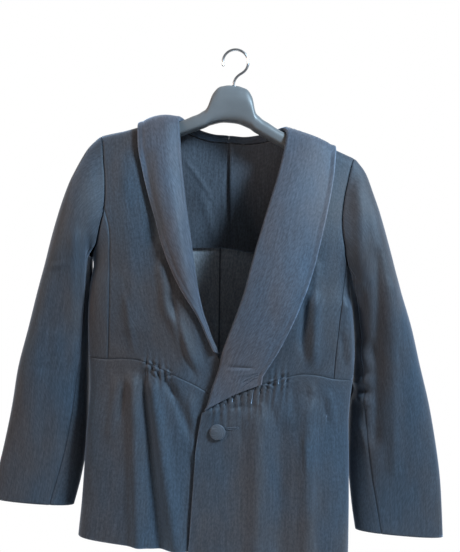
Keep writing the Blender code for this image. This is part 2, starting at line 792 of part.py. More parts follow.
def make_back_skirt(side, material, collection):
    """Back skirt from the side seam to the centre back."""
    def side_edge(level):
        return side * (SIDE_SEAM_TURN + SIDE_SEAM_GAP_TURN) + 0 * level

    def centre(level):
        x = CENTRE_BACK_X + side * SEAM_HALF
        turn = 2 - turn_at(abs(x), level)
        return np.where(x * side < 0, 4 - turn, turn) * side

    def top(turn):
        return skirt_top(turn, side)

    turn, level = panel(side_edge, centre, top, hem, np.linspace(0, 1, 15), np.linspace(0, 1, 9))
    name = "back_skirt_left" if side > 0 else "back_skirt_right"
    return body_wall(name, turn, level, material, collection)


def sheet(x, level, out, under):
    """A point by its distance from the midline, level negative on the back."""
    size = np.abs(level)
    front = turn_at(x, size)
    back = turn_at(x, size, back=True)
    turn = np.where(level < 0, back, front)
    return on_body(turn, size, out, under)


def collar_profile(width, middle, edge):
    """Distances along the leaf and out from the panel, from the leg's end to the edge."""
    along = [LEG_LENGTH, 0.0055, 0.0028]
    out = [-LEAF_REST, -ROLL_RADIUS, -ROLL_RADIUS]
    for angle in np.radians([-50, 0, 50]):
        along.append(ROLL_RADIUS * (1 - cos(angle)))
        out.append(ROLL_RADIUS * sin(angle))
    start = out[-1]
    for part in np.linspace(0, 1, 6)[1:]:
        along.append(along[5] + (width - along[5]) * part)
        rise = sin(pi * min(part, 0.999)) ** 0.8
        base = start + (edge - start) * ease(part, 0.0, 0.3)
        out.append(float(base + (middle - LEAF_REST) * rise))
    return np.array(along), np.array(out)


def collar_grid(side, part, shift):
    """Points across the collar at one part of its length, moved out by shift."""
    rows = collar_rows(side)
    lifts = LIFT_LEFT if side > 0 else LIFT_RIGHT
    knots = np.linspace(0, 1, len(rows))
    place = {name: float(smooth_curve(part, knots, column(rows, name))) for name in Station._fields}
    run = np.array([place["edge_x"] - place["roll_x"], place["edge_level"] - place["roll_level"]])
    width = float(np.hypot(*run))
    run = run / width
    middle = float(smooth(part, lifts, "along", "middle"))
    edge = float(smooth(part, lifts, "along", "edge"))
    along, out = collar_profile(width, middle, edge)
    tangent = np.gradient(np.stack([along, out], -1), axis=0)
    tangent /= np.linalg.norm(tangent, axis=1, keepdims=True)
    along = along - tangent[:, 1] * shift
    out = out + tangent[:, 0] * shift
    x = place["roll_x"] + run[0] * along
    level = place["roll_level"] + run[1] * along
    if side > 0:
        limit = smooth(x, WAIST, "x", "level") - 0.0006
        level = level + (limit - level) * ease(part, 0.93, 1.0)
    return sheet(side * x, level, out, side < 0)


def make_collar(side, material, collection):
    """Half of the shawl collar, from the centre back down to the front."""
    last = len(collar_rows(side)) - 1
    stations = np.concatenate([[0, 0.9, 1.7], np.linspace(2.3, 6.5, 16), np.linspace(7.4, last, 13)])
    parts = stations / last
    outer = hung(np.array([collar_grid(side, part, COLLAR_CLOTH / 2) for part in parts]))
    inner = hung(np.array([collar_grid(side, part, -COLLAR_CLOTH / 2) for part in parts]))
    name = "collar_left" if side > 0 else "collar_right"
    return wall(name, outer, inner, material, collection)


def armhole_loop(side, half):
    """The armhole's front or back half, from the shoulder tip to the underarm."""
    join = join_level(side)
    levels = np.linspace(0, join, 60)
    turns = hole_turn(levels)
    lower = np.linspace(float(hole_turn(join)), 1, 60)[1:]
    turns = np.concatenate([turns, lower])
    levels = np.concatenate([levels, hole_level(lower)])
    if half < 0:
        turns = 2 - turns
    points = body(turns, levels)
    spread = np.linspace(0, 1, len(points))
    points[:, 0] += 0.0010 + 0.0020 * ease(spread, 0.30, 0.70)
    return points


def even_curve(points, shares):
    """Points at even shares of a curve's length."""
    steps = np.linalg.norm(np.diff(points, axis=0), axis=1)
    length = np.concatenate([[0], np.cumsum(steps)])
    length /= length[-1]
    return np.stack([np.interp(shares, length, points[:, axis]) for axis in range(3)], -1)


def ring_half(side, station, half, shares):
    """Front or back half of a plain sleeve ring, from its outer to its inner end."""
    knots = np.arange(len(RINGS))
    at = {name: float(smooth_curve(station, knots, column(RINGS, name))) for name in Ring._fields}
    outer = np.array([at["outer_x"] + (at["spread"] if side > 0 else 0), 0, at["outer_z"]])
    inner = np.array([at["inner_x"], at["inner_y"], at["inner_z"]])
    reach = (outer - inner) / 2
    angle = np.linspace(0, pi, 121)
    along = np.sign(np.cos(angle)) * np.abs(np.cos(angle)) ** SECTION_POWER
    deep = np.sin(angle) ** SECTION_POWER
    depth = at["front"] if half > 0 else at["back"]
    points = (outer + inner) / 2 + along[:, None] * reach
    points = points + deep[:, None] * np.array([0, -half * depth, 0])
    return even_curve(points, shares)


def sleeve_points(side, station, around):
    """Sleeve points at one ring; around is 0 outside, 1 inside, 2 outside again."""
    points = np.zeros((len(around), 3))
    fade = float(1 - ease(station, 0, LOOP_FADE))
    for half in (1, -1):
        shares = around if half > 0 else 2 - around
        chosen = (around <= 1) if half > 0 else (around > 1)
        if not chosen.any():
            continue
        shares = np.clip(shares[chosen], 0, 1)
        ring = ring_half(side, station, half, shares)
        if fade > 0:
            loop = even_curve(armhole_loop(side, half), shares)
            ring = ring + (loop - ring_half(side, 0.0, half, shares)) * fade
        points[chosen] = ring
    return points


def sleeve_wall_points(side, station, around, out):
    """Sleeve points moved out from the sleeve's surface."""
    around = np.mod(around, 2)
    last = len(RINGS) - 1
    above = sleeve_points(side, max(station - 0.02, 0), around)
    below = sleeve_points(side, min(station + 0.02, last), around)
    before = sleeve_points(side, station, np.mod(around - 0.01, 2))
    after = sleeve_points(side, station, np.mod(around + 0.01, 2))
    normal = np.cross(after - before, below - above)
    normal /= np.linalg.norm(normal, axis=1, keepdims=True)
    points = sleeve_points(side, station, around) + normal * out
    points[:, 0] *= side
    return points


def make_sleeve(side, upper, material, collection):
    """Upper or under sleeve between the front and the back seam."""
    gap = 0.0015
    stations = (len(RINGS) - 1) * np.linspace(0, 1, 15) ** 1.15
    outer, inner = [], []
    for station in stations:
        front = FRONT_SEAM + (CUFF_FRONT_SEAM - FRONT_SEAM) * ease(station, 4, 12)
        if upper:
            behind = (gap - BACK_SEAM) * np.linspace(1, 0, 8) ** 1.6
            before = (front - gap) * np.linspace(0, 1, 9) ** 1.6
            around = np.concatenate([behind[:-1], before])
        else:
            around = np.linspace(front + gap, 2 - BACK_SEAM - gap, 7)
        outer.append(sleeve_wall_points(side, station, around, CLOTH / 2))
        inner.append(sleeve_wall_points(side, station, around, -CLOTH / 2))
    name = "sleeve_upper" if upper else "sleeve_under"
    name += "_left" if side > 0 else "_right"
    return wall(name, hung(np.array(outer)), hung(np.array(inner)), material, collection)


def lining_line(part_down):
    """Across the half lining at one part of its length: x, and distance from the back."""
    fold_x = PLEAT_TOP_X + (PLEAT_HEM_X - PLEAT_TOP_X) * part_down
    deep_x = fold_x + PLEAT_DEPTH
    spacing = 0.0022 + 0.0008 * part_down
    rest = 0.0019 + 0.0026 * ease(part_down, 0, 0.4)
    x = [-LINING_HALF, -0.115, -0.080, -0.045, -0.015, fold_x, deep_x - 0.004]
    out = [-rest] * 7
    x += [deep_x, deep_x - 0.004, fold_x + 0.004, fold_x, fold_x + 0.004]
    out += [-rest - spacing * step for step in (0.5, 1.0, 1.0, 1.5, 2.0)]
    for share in (0.18, 0.4, 0.62, 0.82, 1.0):
        x.append(fold_x + 0.004 + (LINING_HALF - fold_x - 0.004) * share)
        out.append(-rest - spacing * 2.0 * (1 - ease(share, 0.1, 0.8)))
    return np.array(x), np.array(out)


def lining_grid(shift):
    """Points of the half lining, moved out by shift."""
    rows = []
    for down in steps_from([4, 6, 8, 12, 20, 28, 28, 28, 28, 28]):
        x, out = lining_line(down)
        tangent = np.gradient(np.stack([x, out], -1), axis=0)
        tangent /= np.linalg.norm(tangent, axis=1, keepdims=True)
        x = x - tangent[:, 1] * shift
        out = out + tangent[:, 0] * shift
        top = np.where(x > 0, neck_level(x, 1, LINING_START), neck_level(x, -1, LINING_START))
        top = np.maximum(top, LINING_TOP_LEVEL)
        level = top + (LINING_HEM_LEVEL - top) * down
        rows.append(sheet(x, -level, out, False))
    return np.array(rows)


def make_lining(material, collection):
    """Half lining that hangs free inside the back, with a knife pleat."""
    outer = hung(lining_grid(LINING_CLOTH / 2))
    inner = hung(lining_grid(-LINING_CLOTH / 2))
    return wall("back_lining", outer, inner, material, collection)


def make_button(material, collection):
    """Domed cloth-covered button, turned about its own axis, on the overlap."""
    turn = turn_at(BUTTON_X, BUTTON_LEVEL)
    seat = CLOTH / 2 + TOUCH
    foot = hung(on_body(turn, BUTTON_LEVEL, seat))
    tip = hung(on_body(turn, BUTTON_LEVEL, seat + 0.010))
    profile = [
        (0.0, BUTTON_HEIGHT),
        (BUTTON_RADIUS * 0.45, BUTTON_HEIGHT * 0.95),
        (BUTTON_RADIUS * 0.80, BUTTON_HEIGHT * 0.76),
        (BUTTON_RADIUS, BUTTON_HEIGHT * 0.40),
        (BUTTON_RADIUS * 0.92, 0.0006),
        (BUTTON_RADIUS * 0.70, 0.0),
        (0.0, 0.0),
    ]
    mesh = bpy.data.meshes.new("button")
    points = [(radius, 0, height) for radius, height in profile]
    mesh.from_pydata(points, [(i, i + 1) for i in range(len(points) - 1)], [])
    made = add_object("button", mesh, material, collection)
    made.location = foot
    made.rotation_mode = "QUATERNION"
    made.rotation_quaternion = Vector(tip - foot).to_track_quat("Z", "Y")
    screw = made.modifiers.new("turned", "SCREW")
    screw.axis = "Z"
    screw.steps = 24
    screw.render_steps = 24
    screw.use_merge_vertices = True
    screw.merge_threshold = 0.00005
    return made


def arm_section(x, top, bottom, thick):
    """Closed ring of the hanger at one place across it: round on top, flat below."""
    drop = np.linspace(0, pi / 2, 4)
    round_top = [(thick * sin(a), top - thick * (1 - cos(a))) for a in drop]
    corner = min(0.004, thick / 3)
    low = [(thick, bottom + corner), (thick - corner, bottom)]
    half = round_top + low
    other = [(-y, z) for y, z in reversed(half[1:])]
    return [(x, y, z) for y, z in half + other]


def arm_stations():
    """Places across one arm, from the neck to the rounded end under the shoulder."""
    stations = list(ARMS)
    for x in np.linspace(ARM_START_X, ARM_END_X, 5):
        ridge = float(body(turn_at(x, 0.0), 0.0)[2])
        share = (x - ARM_START_X) / (ARM_END_X - ARM_START_X)
        depth = ARM_DEPTH + (ARM_DEPTH_AT_END - ARM_DEPTH) * share
        side_y = abs(float(body(turn_at(x, 0.026), 0.026)[1]))
        stations.append(Arm(x, ridge - HANGER_TOP_OFF, ridge - depth, side_y - ARM_CLEAR))
    return stations


def make_hanger(material, collection):
    """Broad hanger body with a domed neck, one solid from end to end."""
    arms = arm_stations()
    rows = [arm_section(-arm.x, arm.top, arm.bottom, arm.thick) for arm in reversed(arms[1:])]
    rows += [arm_section(arm.x, arm.top, arm.bottom, arm.thick) for arm in arms]
    return loft("hanger_body", hung(np.array(rows)), False, material, collection)


def hook_path():
    """Stem, bend and open round of the hook, in the hanger's plane."""
    centre = HOOK_WIRE_RADIUS - HOOK_RADIUS
    start = radians(-55)
    joint = np.array([HOOK_RADIUS * cos(start), centre + HOOK_RADIUS * sin(start)])
    heading = np.array([-sin(start), cos(start)])
    foot = np.array([0.0, ARMS[0].top + TOUCH])
    corners = [foot, foot + (0, 0.010), joint - heading * 0.008, joint]
    points = []
    for part in np.linspace(0, 1, 9)[:-1]:
        rest = 1 - part
        weights = (rest**3, 3 * rest**2 * part, 3 * rest * part**2, part**3)
        points.append(sum(w * c for w, c in zip(weights, corners)))
    for angle in np.linspace(start, radians(205), 16):
        points.append(np.array([HOOK_RADIUS * cos(angle), centre + HOOK_RADIUS * sin(angle)]))
    return [(x, 0.0, z) for x, z in points]


def make_hook(material, collection):
    """Steel wire hook that stands on the hanger's neck."""
    curve = bpy.data.curves.new("hanger_hook", "CURVE")
    curve.dimensions = "3D"
    curve.bevel_depth = HOOK_WIRE_RADIUS
    curve.bevel_resolution = 2
    curve.use_fill_caps = True
    points = hook_path()
    line = curve.splines.new("POLY")
    line.points.add(len(points) - 1)
    for point, place in zip(line.points, points):
        point.co = (*place, 1.0)
    curve.materials.append(material)
    made = bpy.data.objects.new("hanger_hook", curve)
    made.matrix_world = Matrix.Rotation(TILT, 4, "Y")
    collection.objects.link(made)
    return made


def cloth_material(name, shade=(58, 64, 76)):
    return new_material(name + "_cloth", srgb(*shade), 0.85)


def build():
    for old in list(bpy.data.objects):
        bpy.data.objects.remove(old, do_unlink=True)
    jacket = bpy.data.collections.new("jacket")
    bpy.context.scene.collection.children.link(jacket)
    for side, word in ((1, "left"), (-1, "right")):
        make_front_bodice(side, cloth_material("front_bodice_" + word), jacket)
        make_side_bodice(side, cloth_material("side_bodice_" + word), jacket)
        make_back_bodice(side, cloth_material("back_bodice_" + word), jacket)
        make_front_skirt(side, cloth_material("front_skirt_" + word), jacket)
        make_back_skirt(side, cloth_material("back_skirt_" + word), jacket)
        make_collar(side, cloth_material("collar_" + word, (66, 74, 88)), jacket)
        make_sleeve(side, True, cloth_material("sleeve_upper_" + word), jacket)
        make_sleeve(side, False, cloth_material("sleeve_under_" + word), jacket)
    make_lining(cloth_material("back_lining", (52, 58, 68)), jacket)
    make_button(cloth_material("button", (56, 60, 68)), jacket)
    make_hanger(new_material("hanger_plastic", srgb(96, 102, 108), 0.45), jacket)
    make_hook(new_material("hook_steel", srgb(190, 192, 195), 0.25, 1.0), jacket)


build()
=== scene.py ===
# %% [markdown]
# # A waisted jacket on its hanger
# The jacket is cut from dark wool, hangs closed with one covered button and keeps the
# tilt of the hanger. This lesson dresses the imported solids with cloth: every panel is a
# thin shell worked out on the same smooth sheet that the solids were cut from, with the
# folds, gathers and seams that the real cloth shows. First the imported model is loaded.

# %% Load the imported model
from collections import namedtuple
from math import cos, pi, radians, sin

import bmesh
import bpy
import numpy as np
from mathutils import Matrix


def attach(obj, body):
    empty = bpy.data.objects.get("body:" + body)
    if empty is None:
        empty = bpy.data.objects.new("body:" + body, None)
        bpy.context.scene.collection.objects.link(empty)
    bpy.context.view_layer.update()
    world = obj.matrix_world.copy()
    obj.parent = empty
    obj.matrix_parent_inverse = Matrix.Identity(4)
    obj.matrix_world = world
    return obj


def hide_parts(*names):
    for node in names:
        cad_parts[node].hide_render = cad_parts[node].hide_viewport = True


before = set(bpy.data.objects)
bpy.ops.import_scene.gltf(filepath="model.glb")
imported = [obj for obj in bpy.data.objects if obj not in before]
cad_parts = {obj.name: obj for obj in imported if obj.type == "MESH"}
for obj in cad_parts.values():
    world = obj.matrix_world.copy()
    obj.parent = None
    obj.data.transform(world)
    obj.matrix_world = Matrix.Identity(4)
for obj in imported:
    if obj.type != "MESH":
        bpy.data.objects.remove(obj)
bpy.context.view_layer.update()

# %% [markdown]
# ## The sizes
# A tailor starts from measurements. These are the jacket's own, in metres: how wide and
# how deep it is at each level down the cloth, and how far the plumb cloth drifts sideways
# below the tilted hanger. Each is a short table with named columns, so a change in one
# row moves one line of the garment and nothing else.

# %% Measurements of the body of the jacket
# The body sheet: shoulder ridge, its fall to the sides and how square the side is
RIDGE_Z = -0.1095
NECK_HALF = 0.081
SHOULDER_FALL = 0.347
CENTRE_SOFT = 0.030
RIDGE_RADIUS = 0.020
RIDGE_TURN = radians(75)
SQUARENESS = 0.45
FALL_FADE = (0.08, 0.33)

# How the jacket hangs: the hanger is tilted, the cloth below it falls plumb
TILT = radians(5.0)

# Lengths down the cloth
HEM_LEVEL = 0.640
CENTRE_BACK_X = -0.004
SIDE_SEAM_TURN = 1.15

Girth = namedtuple("Girth", "level half_width front back")
GIRTHS = [
    Girth(0.000, 0.235, -0.007, -0.007),
    Girth(0.026, 0.235, 0.000, 0.000),
    Girth(0.060, 0.235, 0.009, 0.009),
    Girth(0.110, 0.232, 0.021, 0.019),
    Girth(0.160, 0.215, 0.030, 0.027),
    Girth(0.195, 0.196, 0.034, 0.030),
    Girth(0.225, 0.190, 0.036, 0.031),
    Girth(0.265, 0.194, 0.037, 0.030),
    Girth(0.330, 0.198, 0.034, 0.025),
    Girth(0.370, 0.197, 0.031, 0.023),
    Girth(0.400, 0.194, 0.031, 0.024),
    Girth(0.500, 0.195, 0.036, 0.031),
    Girth(0.640, 0.199, 0.042, 0.039),
    Girth(0.760, 0.203, 0.047, 0.045),
]

# Sideways drift of the plumb cloth below the tilted hanger
Drift = namedtuple("Drift", "z shift")
DRIFTS = [
    Drift(-0.780, -0.0360),
    Drift(-0.600, -0.0285),
    Drift(-0.474, -0.0235),
    Drift(-0.283, -0.0205),
    Drift(-0.190, -0.01656),
    Drift(-0.100, -0.00872),
    Drift(0.000, 0.0000),
    Drift(0.010, 0.00087),
]
print("levels measured:", len(GIRTHS), "length down the cloth:", HEM_LEVEL)

# %% [markdown]
# ## Smooth curves through the tables
# A table gives a few places, and cloth has no corners between them. A cubic curve with
# averaged slopes passes through every row. All helpers work on whole arrays.

# %% Curves and soft steps
def column(rows, name):
    """One named column of a table, as an array."""
    return np.array([getattr(row, name) for row in rows], float)


def smooth(at, rows, key, value):
    """Read a table's value at a key along a smooth curve through its rows."""
    knots = column(rows, key)
    values = column(rows, value)
    return smooth_curve(at, knots, values)


def smooth_curve(at, knots, values):
    """Cubic curve through the values, with slopes averaged from both sides."""
    at = np.asarray(at, float)
    spans = np.diff(knots)
    rates = np.diff(values) / spans
    inner = (rates[:-1] * spans[1:] + rates[1:] * spans[:-1]) / (spans[1:] + spans[:-1])
    slopes = np.concatenate([rates[:1], inner, rates[-1:]])
    index = np.clip(np.searchsorted(knots, at) - 1, 0, len(knots) - 2)
    part = (at - knots[index]) / spans[index]
    held = np.clip(part, 0, 1)
    rest = 1 - held
    start_slope = spans[index] * slopes[index]
    start = values[index] * (1 + 2 * held) * rest**2 + start_slope * held * rest**2
    end_slope = spans[index] * slopes[index + 1]
    end = values[index + 1] * held**2 * (3 - 2 * held) - end_slope * held**2 * rest
    past = (part - held) * spans[index]
    return start + end + past * np.where(part < 0, slopes[index], slopes[index + 1])


def ease(value, start, end):
    """0 before start, 1 after end and a soft step between."""
    part = np.clip((np.asarray(value, float) - start) / (end - start), 0, 1)
    return part * part * (3 - 2 * part)


print("half way up a soft step:", ease(0.5, 0, 1))

# %% [markdown]
# ## The sheet round the body
# All panels lie on one smooth sheet. A place on it has a turn (0 centre front, 1 the
# side, 2 centre back) and a level (distance down the cloth from the shoulder). One
# surface for every panel means that neighbours meet exactly at their seams.

# %% The sheet as a function of turn and level
def half_width(level):
    return smooth(level, GIRTHS, "level", "half_width")


def turn_at(x, level, back=False):
    """The turn of the place that is x from the midline at a level."""
    share = np.clip(np.abs(x) / half_width(level), 0, 1)
    turn = 1 - (np.arccos(share) * 2 / pi) ** SQUARENESS
    if back:
        turn = 2 - turn
    return np.where(np.asarray(x) < 0, -turn, turn)


def body(turn, level):
    """A point of the body sheet."""
    past_side = np.abs(turn) > 1
    to_side = (pi / 2) * np.abs(1 - np.abs(turn)) ** (1 / SQUARENESS)
    rolled = np.minimum(level / RIDGE_RADIUS, RIDGE_TURN)
    below = np.maximum(level - RIDGE_RADIUS * RIDGE_TURN, 0)
    fullness = np.where(past_side, smooth(level, GIRTHS, "level", "back"),
                        smooth(level, GIRTHS, "level", "front"))
    depth = RIDGE_RADIUS * np.sin(rolled) + np.where(below > 0, fullness, 0)
    x = np.sign(turn) * half_width(level) * np.cos(to_side)
    y = np.where(past_side, 1, -1) * np.sin(to_side) ** SQUARENESS * depth
    fall = np.hypot(x, CENTRE_SOFT) - np.hypot(NECK_HALF, CENTRE_SOFT)
    fade = 1 - ease(level, *FALL_FADE)
    z = RIDGE_Z - RIDGE_RADIUS * (1 - np.cos(rolled)) - below - SHOULDER_FALL * fall * fade
    return np.stack(np.broadcast_arrays(x, y, z), -1)


def body_normal(turn, level):
    """The sheet's outward direction, from its change to either side of the place."""
    step_turn = 0.002
    step_level = 0.0002
    lower = np.maximum(level - step_level, 0)
    down = body(turn, level + step_level) - body(turn, lower)
    across = body(turn + step_turn, level) - body(turn - step_turn, level)
    normal = np.cross(down, across)
    return normal / np.linalg.norm(normal, axis=-1, keepdims=True)


def hung(points):
    """Tilt the jacket with its hanger and let the cloth below fall plumb."""
    x, y, z = points[..., 0], points[..., 1], points[..., 2]
    shift = smooth(z, DRIFTS, "z", "shift")
    return np.stack([x * cos(TILT) + shift, y, z * cos(TILT) - x * sin(TILT)], -1)


print("turn 5 cm from the midline, 30 cm down:", turn_at(0.05, 0.3))

# %% [markdown]
# ## Folds, creases and gathers
# Hung cloth falls into soft vertical folds, and creases where it was pressed or worn.
# Each is a straight ridge, or a groove where the height is negative, with soft ends.
# They are given one row each, as uneven as on the real jacket, because a
# simulation would put its own folds elsewhere.

# %% Rows of the folds
# Largest folds on the front (side 1) and on the back (side -1)
Fold = namedtuple("Fold", "side x0 level0 x1 level1 width height")
FOLDS = [
    Fold(1, -0.0900, 0.215, -0.0760, 0.320, 0.008, 0.0025),
    Fold(1, -0.0760, 0.290, -0.0300, 0.392, 0.009, 0.0040),
    Fold(1, -0.1260, 0.385, -0.1040, 0.680, 0.010, 0.0045),
    Fold(1, -0.1140, 0.380, -0.0700, 0.680, 0.009, -0.0040),
    Fold(1, -0.1040, 0.385, -0.0420, 0.680, 0.011, 0.0045),
    Fold(1, -0.0800, 0.391, -0.0290, 0.490, 0.008, -0.0025),
    Fold(1, 0.1190, 0.250, 0.1210, 0.365, 0.007, -0.0020),
    Fold(1, 0.1370, 0.240, 0.1350, 0.372, 0.009, 0.0028),
    Fold(1, 0.1290, 0.400, 0.1360, 0.680, 0.012, 0.0045),
    Fold(1, 0.0900, 0.430, 0.0980, 0.680, 0.013, -0.0030),
    Fold(1, 0.0550, 0.420, 0.0620, 0.680, 0.013, 0.0035),
    Fold(-1, -0.1150, 0.390, -0.1230, 0.680, 0.014, 0.0045),
    Fold(-1, -0.0450, 0.390, -0.0500, 0.680, 0.014, 0.0040),
    Fold(-1, 0.0500, 0.390, 0.0560, 0.680, 0.014, 0.0042),
    Fold(-1, 0.1150, 0.390, 0.1220, 0.680, 0.014, 0.0045),
]
FOLD_END = 0.030

# Finer creases, which only the cloth has and not the solids
CREASES = [
    Fold(1, -0.1180, 0.050, -0.0930, 0.210, 0.011, -0.0022),
    Fold(1, -0.1500, 0.040, -0.1250, 0.345, 0.014, 0.0016),
    Fold(1, -0.1400, 0.270, -0.1244, 0.368, 0.005, 0.0010),
    Fold(1, -0.0770, 0.265, -0.0500, 0.368, 0.005, -0.0022),
    Fold(1, -0.0560, 0.350, -0.0320, 0.396, 0.005, -0.0020),
    Fold(1, -0.1170, 0.383, -0.1080, 0.368, 0.003, 0.0009),
    Fold(1, -0.1080, 0.392, -0.1020, 0.370, 0.003, 0.0010),
    Fold(1, -0.1010, 0.400, -0.0900, 0.372, 0.003, 0.0010),
    Fold(1, -0.0430, 0.410, -0.0306, 0.520, 0.006, 0.0014),
    Fold(1, -0.0870, 0.387, -0.0590, 0.430, 0.005, -0.0016),
    Fold(1, 0.1250, 0.250, 0.1143, 0.345, 0.005, -0.0014),
    Fold(1, 0.1390, 0.190, 0.1320, 0.355, 0.006, 0.0010),
    Fold(1, 0.1805, 0.245, 0.1880, 0.360, 0.006, 0.0026),
    Fold(1, 0.1740, 0.300, 0.1820, 0.366, 0.004, -0.0016),
    Fold(1, 0.0924, 0.464, 0.1251, 0.443, 0.0028, -0.0011),
    Fold(1, 0.0950, 0.458, 0.1270, 0.437, 0.0035, 0.0008),
    Fold(1, 0.1268, 0.450, 0.1561, 0.4425, 0.0026, -0.0010),
    Fold(1, 0.1227, 0.452, 0.1290, 0.520, 0.0032, 0.0012),
    Fold(1, 0.1330, 0.377, 0.1367, 0.438, 0.006, 0.0011),
    Fold(1, 0.1050, 0.380, 0.1080, 0.440, 0.006, -0.0010),
    Fold(1, -0.0225, 0.447, 0.0084, 0.427, 0.006, 0.0016),
    Fold(1, 0.0100, 0.4330, 0.0420, 0.4220, 0.0035, -0.0012),
    Fold(1, 0.0480, 0.4170, 0.0680, 0.4280, 0.0045, 0.0010),
    Fold(1, 0.0300, 0.4350, 0.0370, 0.4900, 0.0060, -0.0009),
    Fold(1, 0.0620, 0.4150, 0.0700, 0.4700, 0.0055, 0.0010),
    Fold(1, 0.0740, 0.4100, 0.0840, 0.4550, 0.0045, -0.0010),
    Fold(1, 0.1600, 0.3900, 0.1680, 0.4500, 0.0060, 0.0014),
    Fold(1, 0.1500, 0.3950, 0.1560, 0.4400, 0.0040, -0.0010),
    Fold(1, -0.1480, 0.3950, -0.1560, 0.5000, 0.0080, 0.0016),
    Fold(1, -0.1380, 0.4000, -0.1420, 0.4700, 0.0050, -0.0012),
    Fold(1, 0.0234, 0.440, 0.0614, 0.415, 0.006, -0.0014),
    Fold(-1, -0.1200, 0.120, -0.1050, 0.300, 0.012, 0.0018),
    Fold(-1, 0.1150, 0.110, 0.1020, 0.280, 0.012, -0.0016),
    Fold(-1, -0.0600, 0.250, -0.0450, 0.370, 0.010, 0.0015),
    Fold(-1, 0.0500, 0.240, 0.0620, 0.368, 0.010, 0.0014),
    Fold(-1, -0.0200, 0.217, -0.0010, 0.330, 0.010, -0.0016),
    Fold(-1, -0.0800, 0.420, -0.0860, 0.620, 0.010, -0.0022),
    Fold(-1, 0.0150, 0.400, 0.0080, 0.600, 0.010, -0.0020),
    Fold(-1, 0.0850, 0.400, 0.0900, 0.610, 0.010, -0.0022),
]
CREASE_END = 0.022
RELIEF = 1.8
print("large folds:", len(FOLDS), "finer creases:", len(CREASES))


# %% Height of all folds at a place
def fold_height(turn, level):
    """Sum of ridges: height times exp(-(distance to its line / width)^2), soft at both ends."""
    x = body(turn, level)[..., 0]
    facing = np.where(np.abs(turn) <= 1, 1, -1)
    height = np.zeros(np.broadcast(turn, level).shape)
    for fold in FOLDS + CREASES:
        run_x = fold.x1 - fold.x0
        run_level = fold.level1 - fold.level0
        length = np.hypot(run_x, run_level)
        end = min(FOLD_END if fold in FOLDS else CREASE_END, length / 2)
        along = ((x - fold.x0) * run_x + (level - fold.level0) * run_level) / length
        across = ((x - fold.x0) * run_level - (level - fold.level0) * run_x) / length
        ends = ease(along, 0, end) * (1 - ease(along, length - end, length))
        crest = RELIEF * fold.height * np.exp(-(across / fold.width) ** 2) * ends
        height = height + np.where(facing == fold.side, crest, 0)
    return height


def wander(turn, level):
    """Slow unevenness of hung cloth: three crossed sine waves of under a millimetre."""
    x = body(turn, level)[..., 0]
    slow = 0.0006 * np.sin(43 * x + 17 * level + 0.7 + 2 * turn)
    wide = 0.0005 * np.sin(23 * x - 31 * level + 2.1)
    fine = 0.00025 * np.sin(97 * x + 53 * level + 1.1 * np.sin(29 * level))
    return slow + wide + fine


print("width of a fold's foot:", round(2 * FOLDS[0].width * 1000), "mm")

# %% [markdown]
# ## Gathers along the waist seam
# The lower fronts are cut wider than the bodice and drawn in by the stitches, so the
# cloth stands in crests below the seam and, where the collar has ended, above it too.
# A cosine between unevenly spaced places gives the crests. A second, finer sine with a
# wandering pitch gives the puckers right beside the stitches. Both fade from the seam.

# %% The waist seam and how it is gathered
# Waist seam, x measured towards the panel's own side of the midline
Waist = namedtuple("Waist", "x level")
WAIST = [
    Waist(-0.035, 0.4480),
    Waist(-0.025, 0.4405),
    Waist(-0.016, 0.4340),
    Waist(-0.004, 0.4256),
    Waist(0.008, 0.4180),
    Waist(0.022, 0.4098),
    Waist(0.036, 0.4028),
    Waist(0.055, 0.3950),
    Waist(0.070, 0.3893),
    Waist(0.086, 0.3830),
    Waist(0.101, 0.3775),
    Waist(0.117, 0.3732),
    Waist(0.140, 0.3728),
    Waist(0.165, 0.3762),
    Waist(0.1965, 0.3770),
]
WAIST_HALF = 0.1965
BACK_WAIST_LEVEL = 0.374

# Gathers at the waist seam on each side: from the first to the last place, with
# their height and reach in the skirt, and in the bodice from where the collar ends
Gather = namedtuple(
    "Gather", "first last spacing height reach above_first above_height above_reach"
)
GATHERS = {
    1: Gather(-0.014, 0.102, 0.0097, 0.0014, 0.030, 0.066, 0.0011, 0.014),
    -1: Gather(0.068, 0.112, 0.0088, 0.0012, 0.026, 0.068, 0.0010, 0.012),
}
GATHER_END = 0.006
GATHER_RELIEF = 1.5
PUCKER = 0.0015
PUCKER_PITCH = 0.0062
PUCKER_WANDER = 0.0012
print("crests of the gathers:", {side: round((row.last - row.first) / row.spacing)
                                 for side, row in GATHERS.items()})


# %% Height of the gathers at a place
def waist_level(turn, side):
    """Level of the waist seam, dipping to a point at the centre front."""
    size = np.abs(turn)
    own = np.sign(turn) * side
    to_side = (pi / 2) * np.abs(1 - np.minimum(size, 1)) ** (1 / SQUARENESS)
    x = own * WAIST_HALF * np.cos(to_side)
    front = smooth(x, WAIST, "x", "level")
    side_level = WAIST[-1].level
    back = side_level + (BACK_WAIST_LEVEL - side_level) * ease(size, 1.0, 1.6)
    return np.where(size <= 1, front, back)


def gather_places(gather):
    """Places of the crests and troughs in turn, unevenly spaced."""
    count = int(round((gather.last - gather.first) / gather.spacing)) * 2
    steps = np.arange(count + 1)
    even = gather.first + (gather.last - gather.first) * steps / count
    return even + 0.0007 * np.sin(1.9 * steps) * np.sin(pi * steps / count)


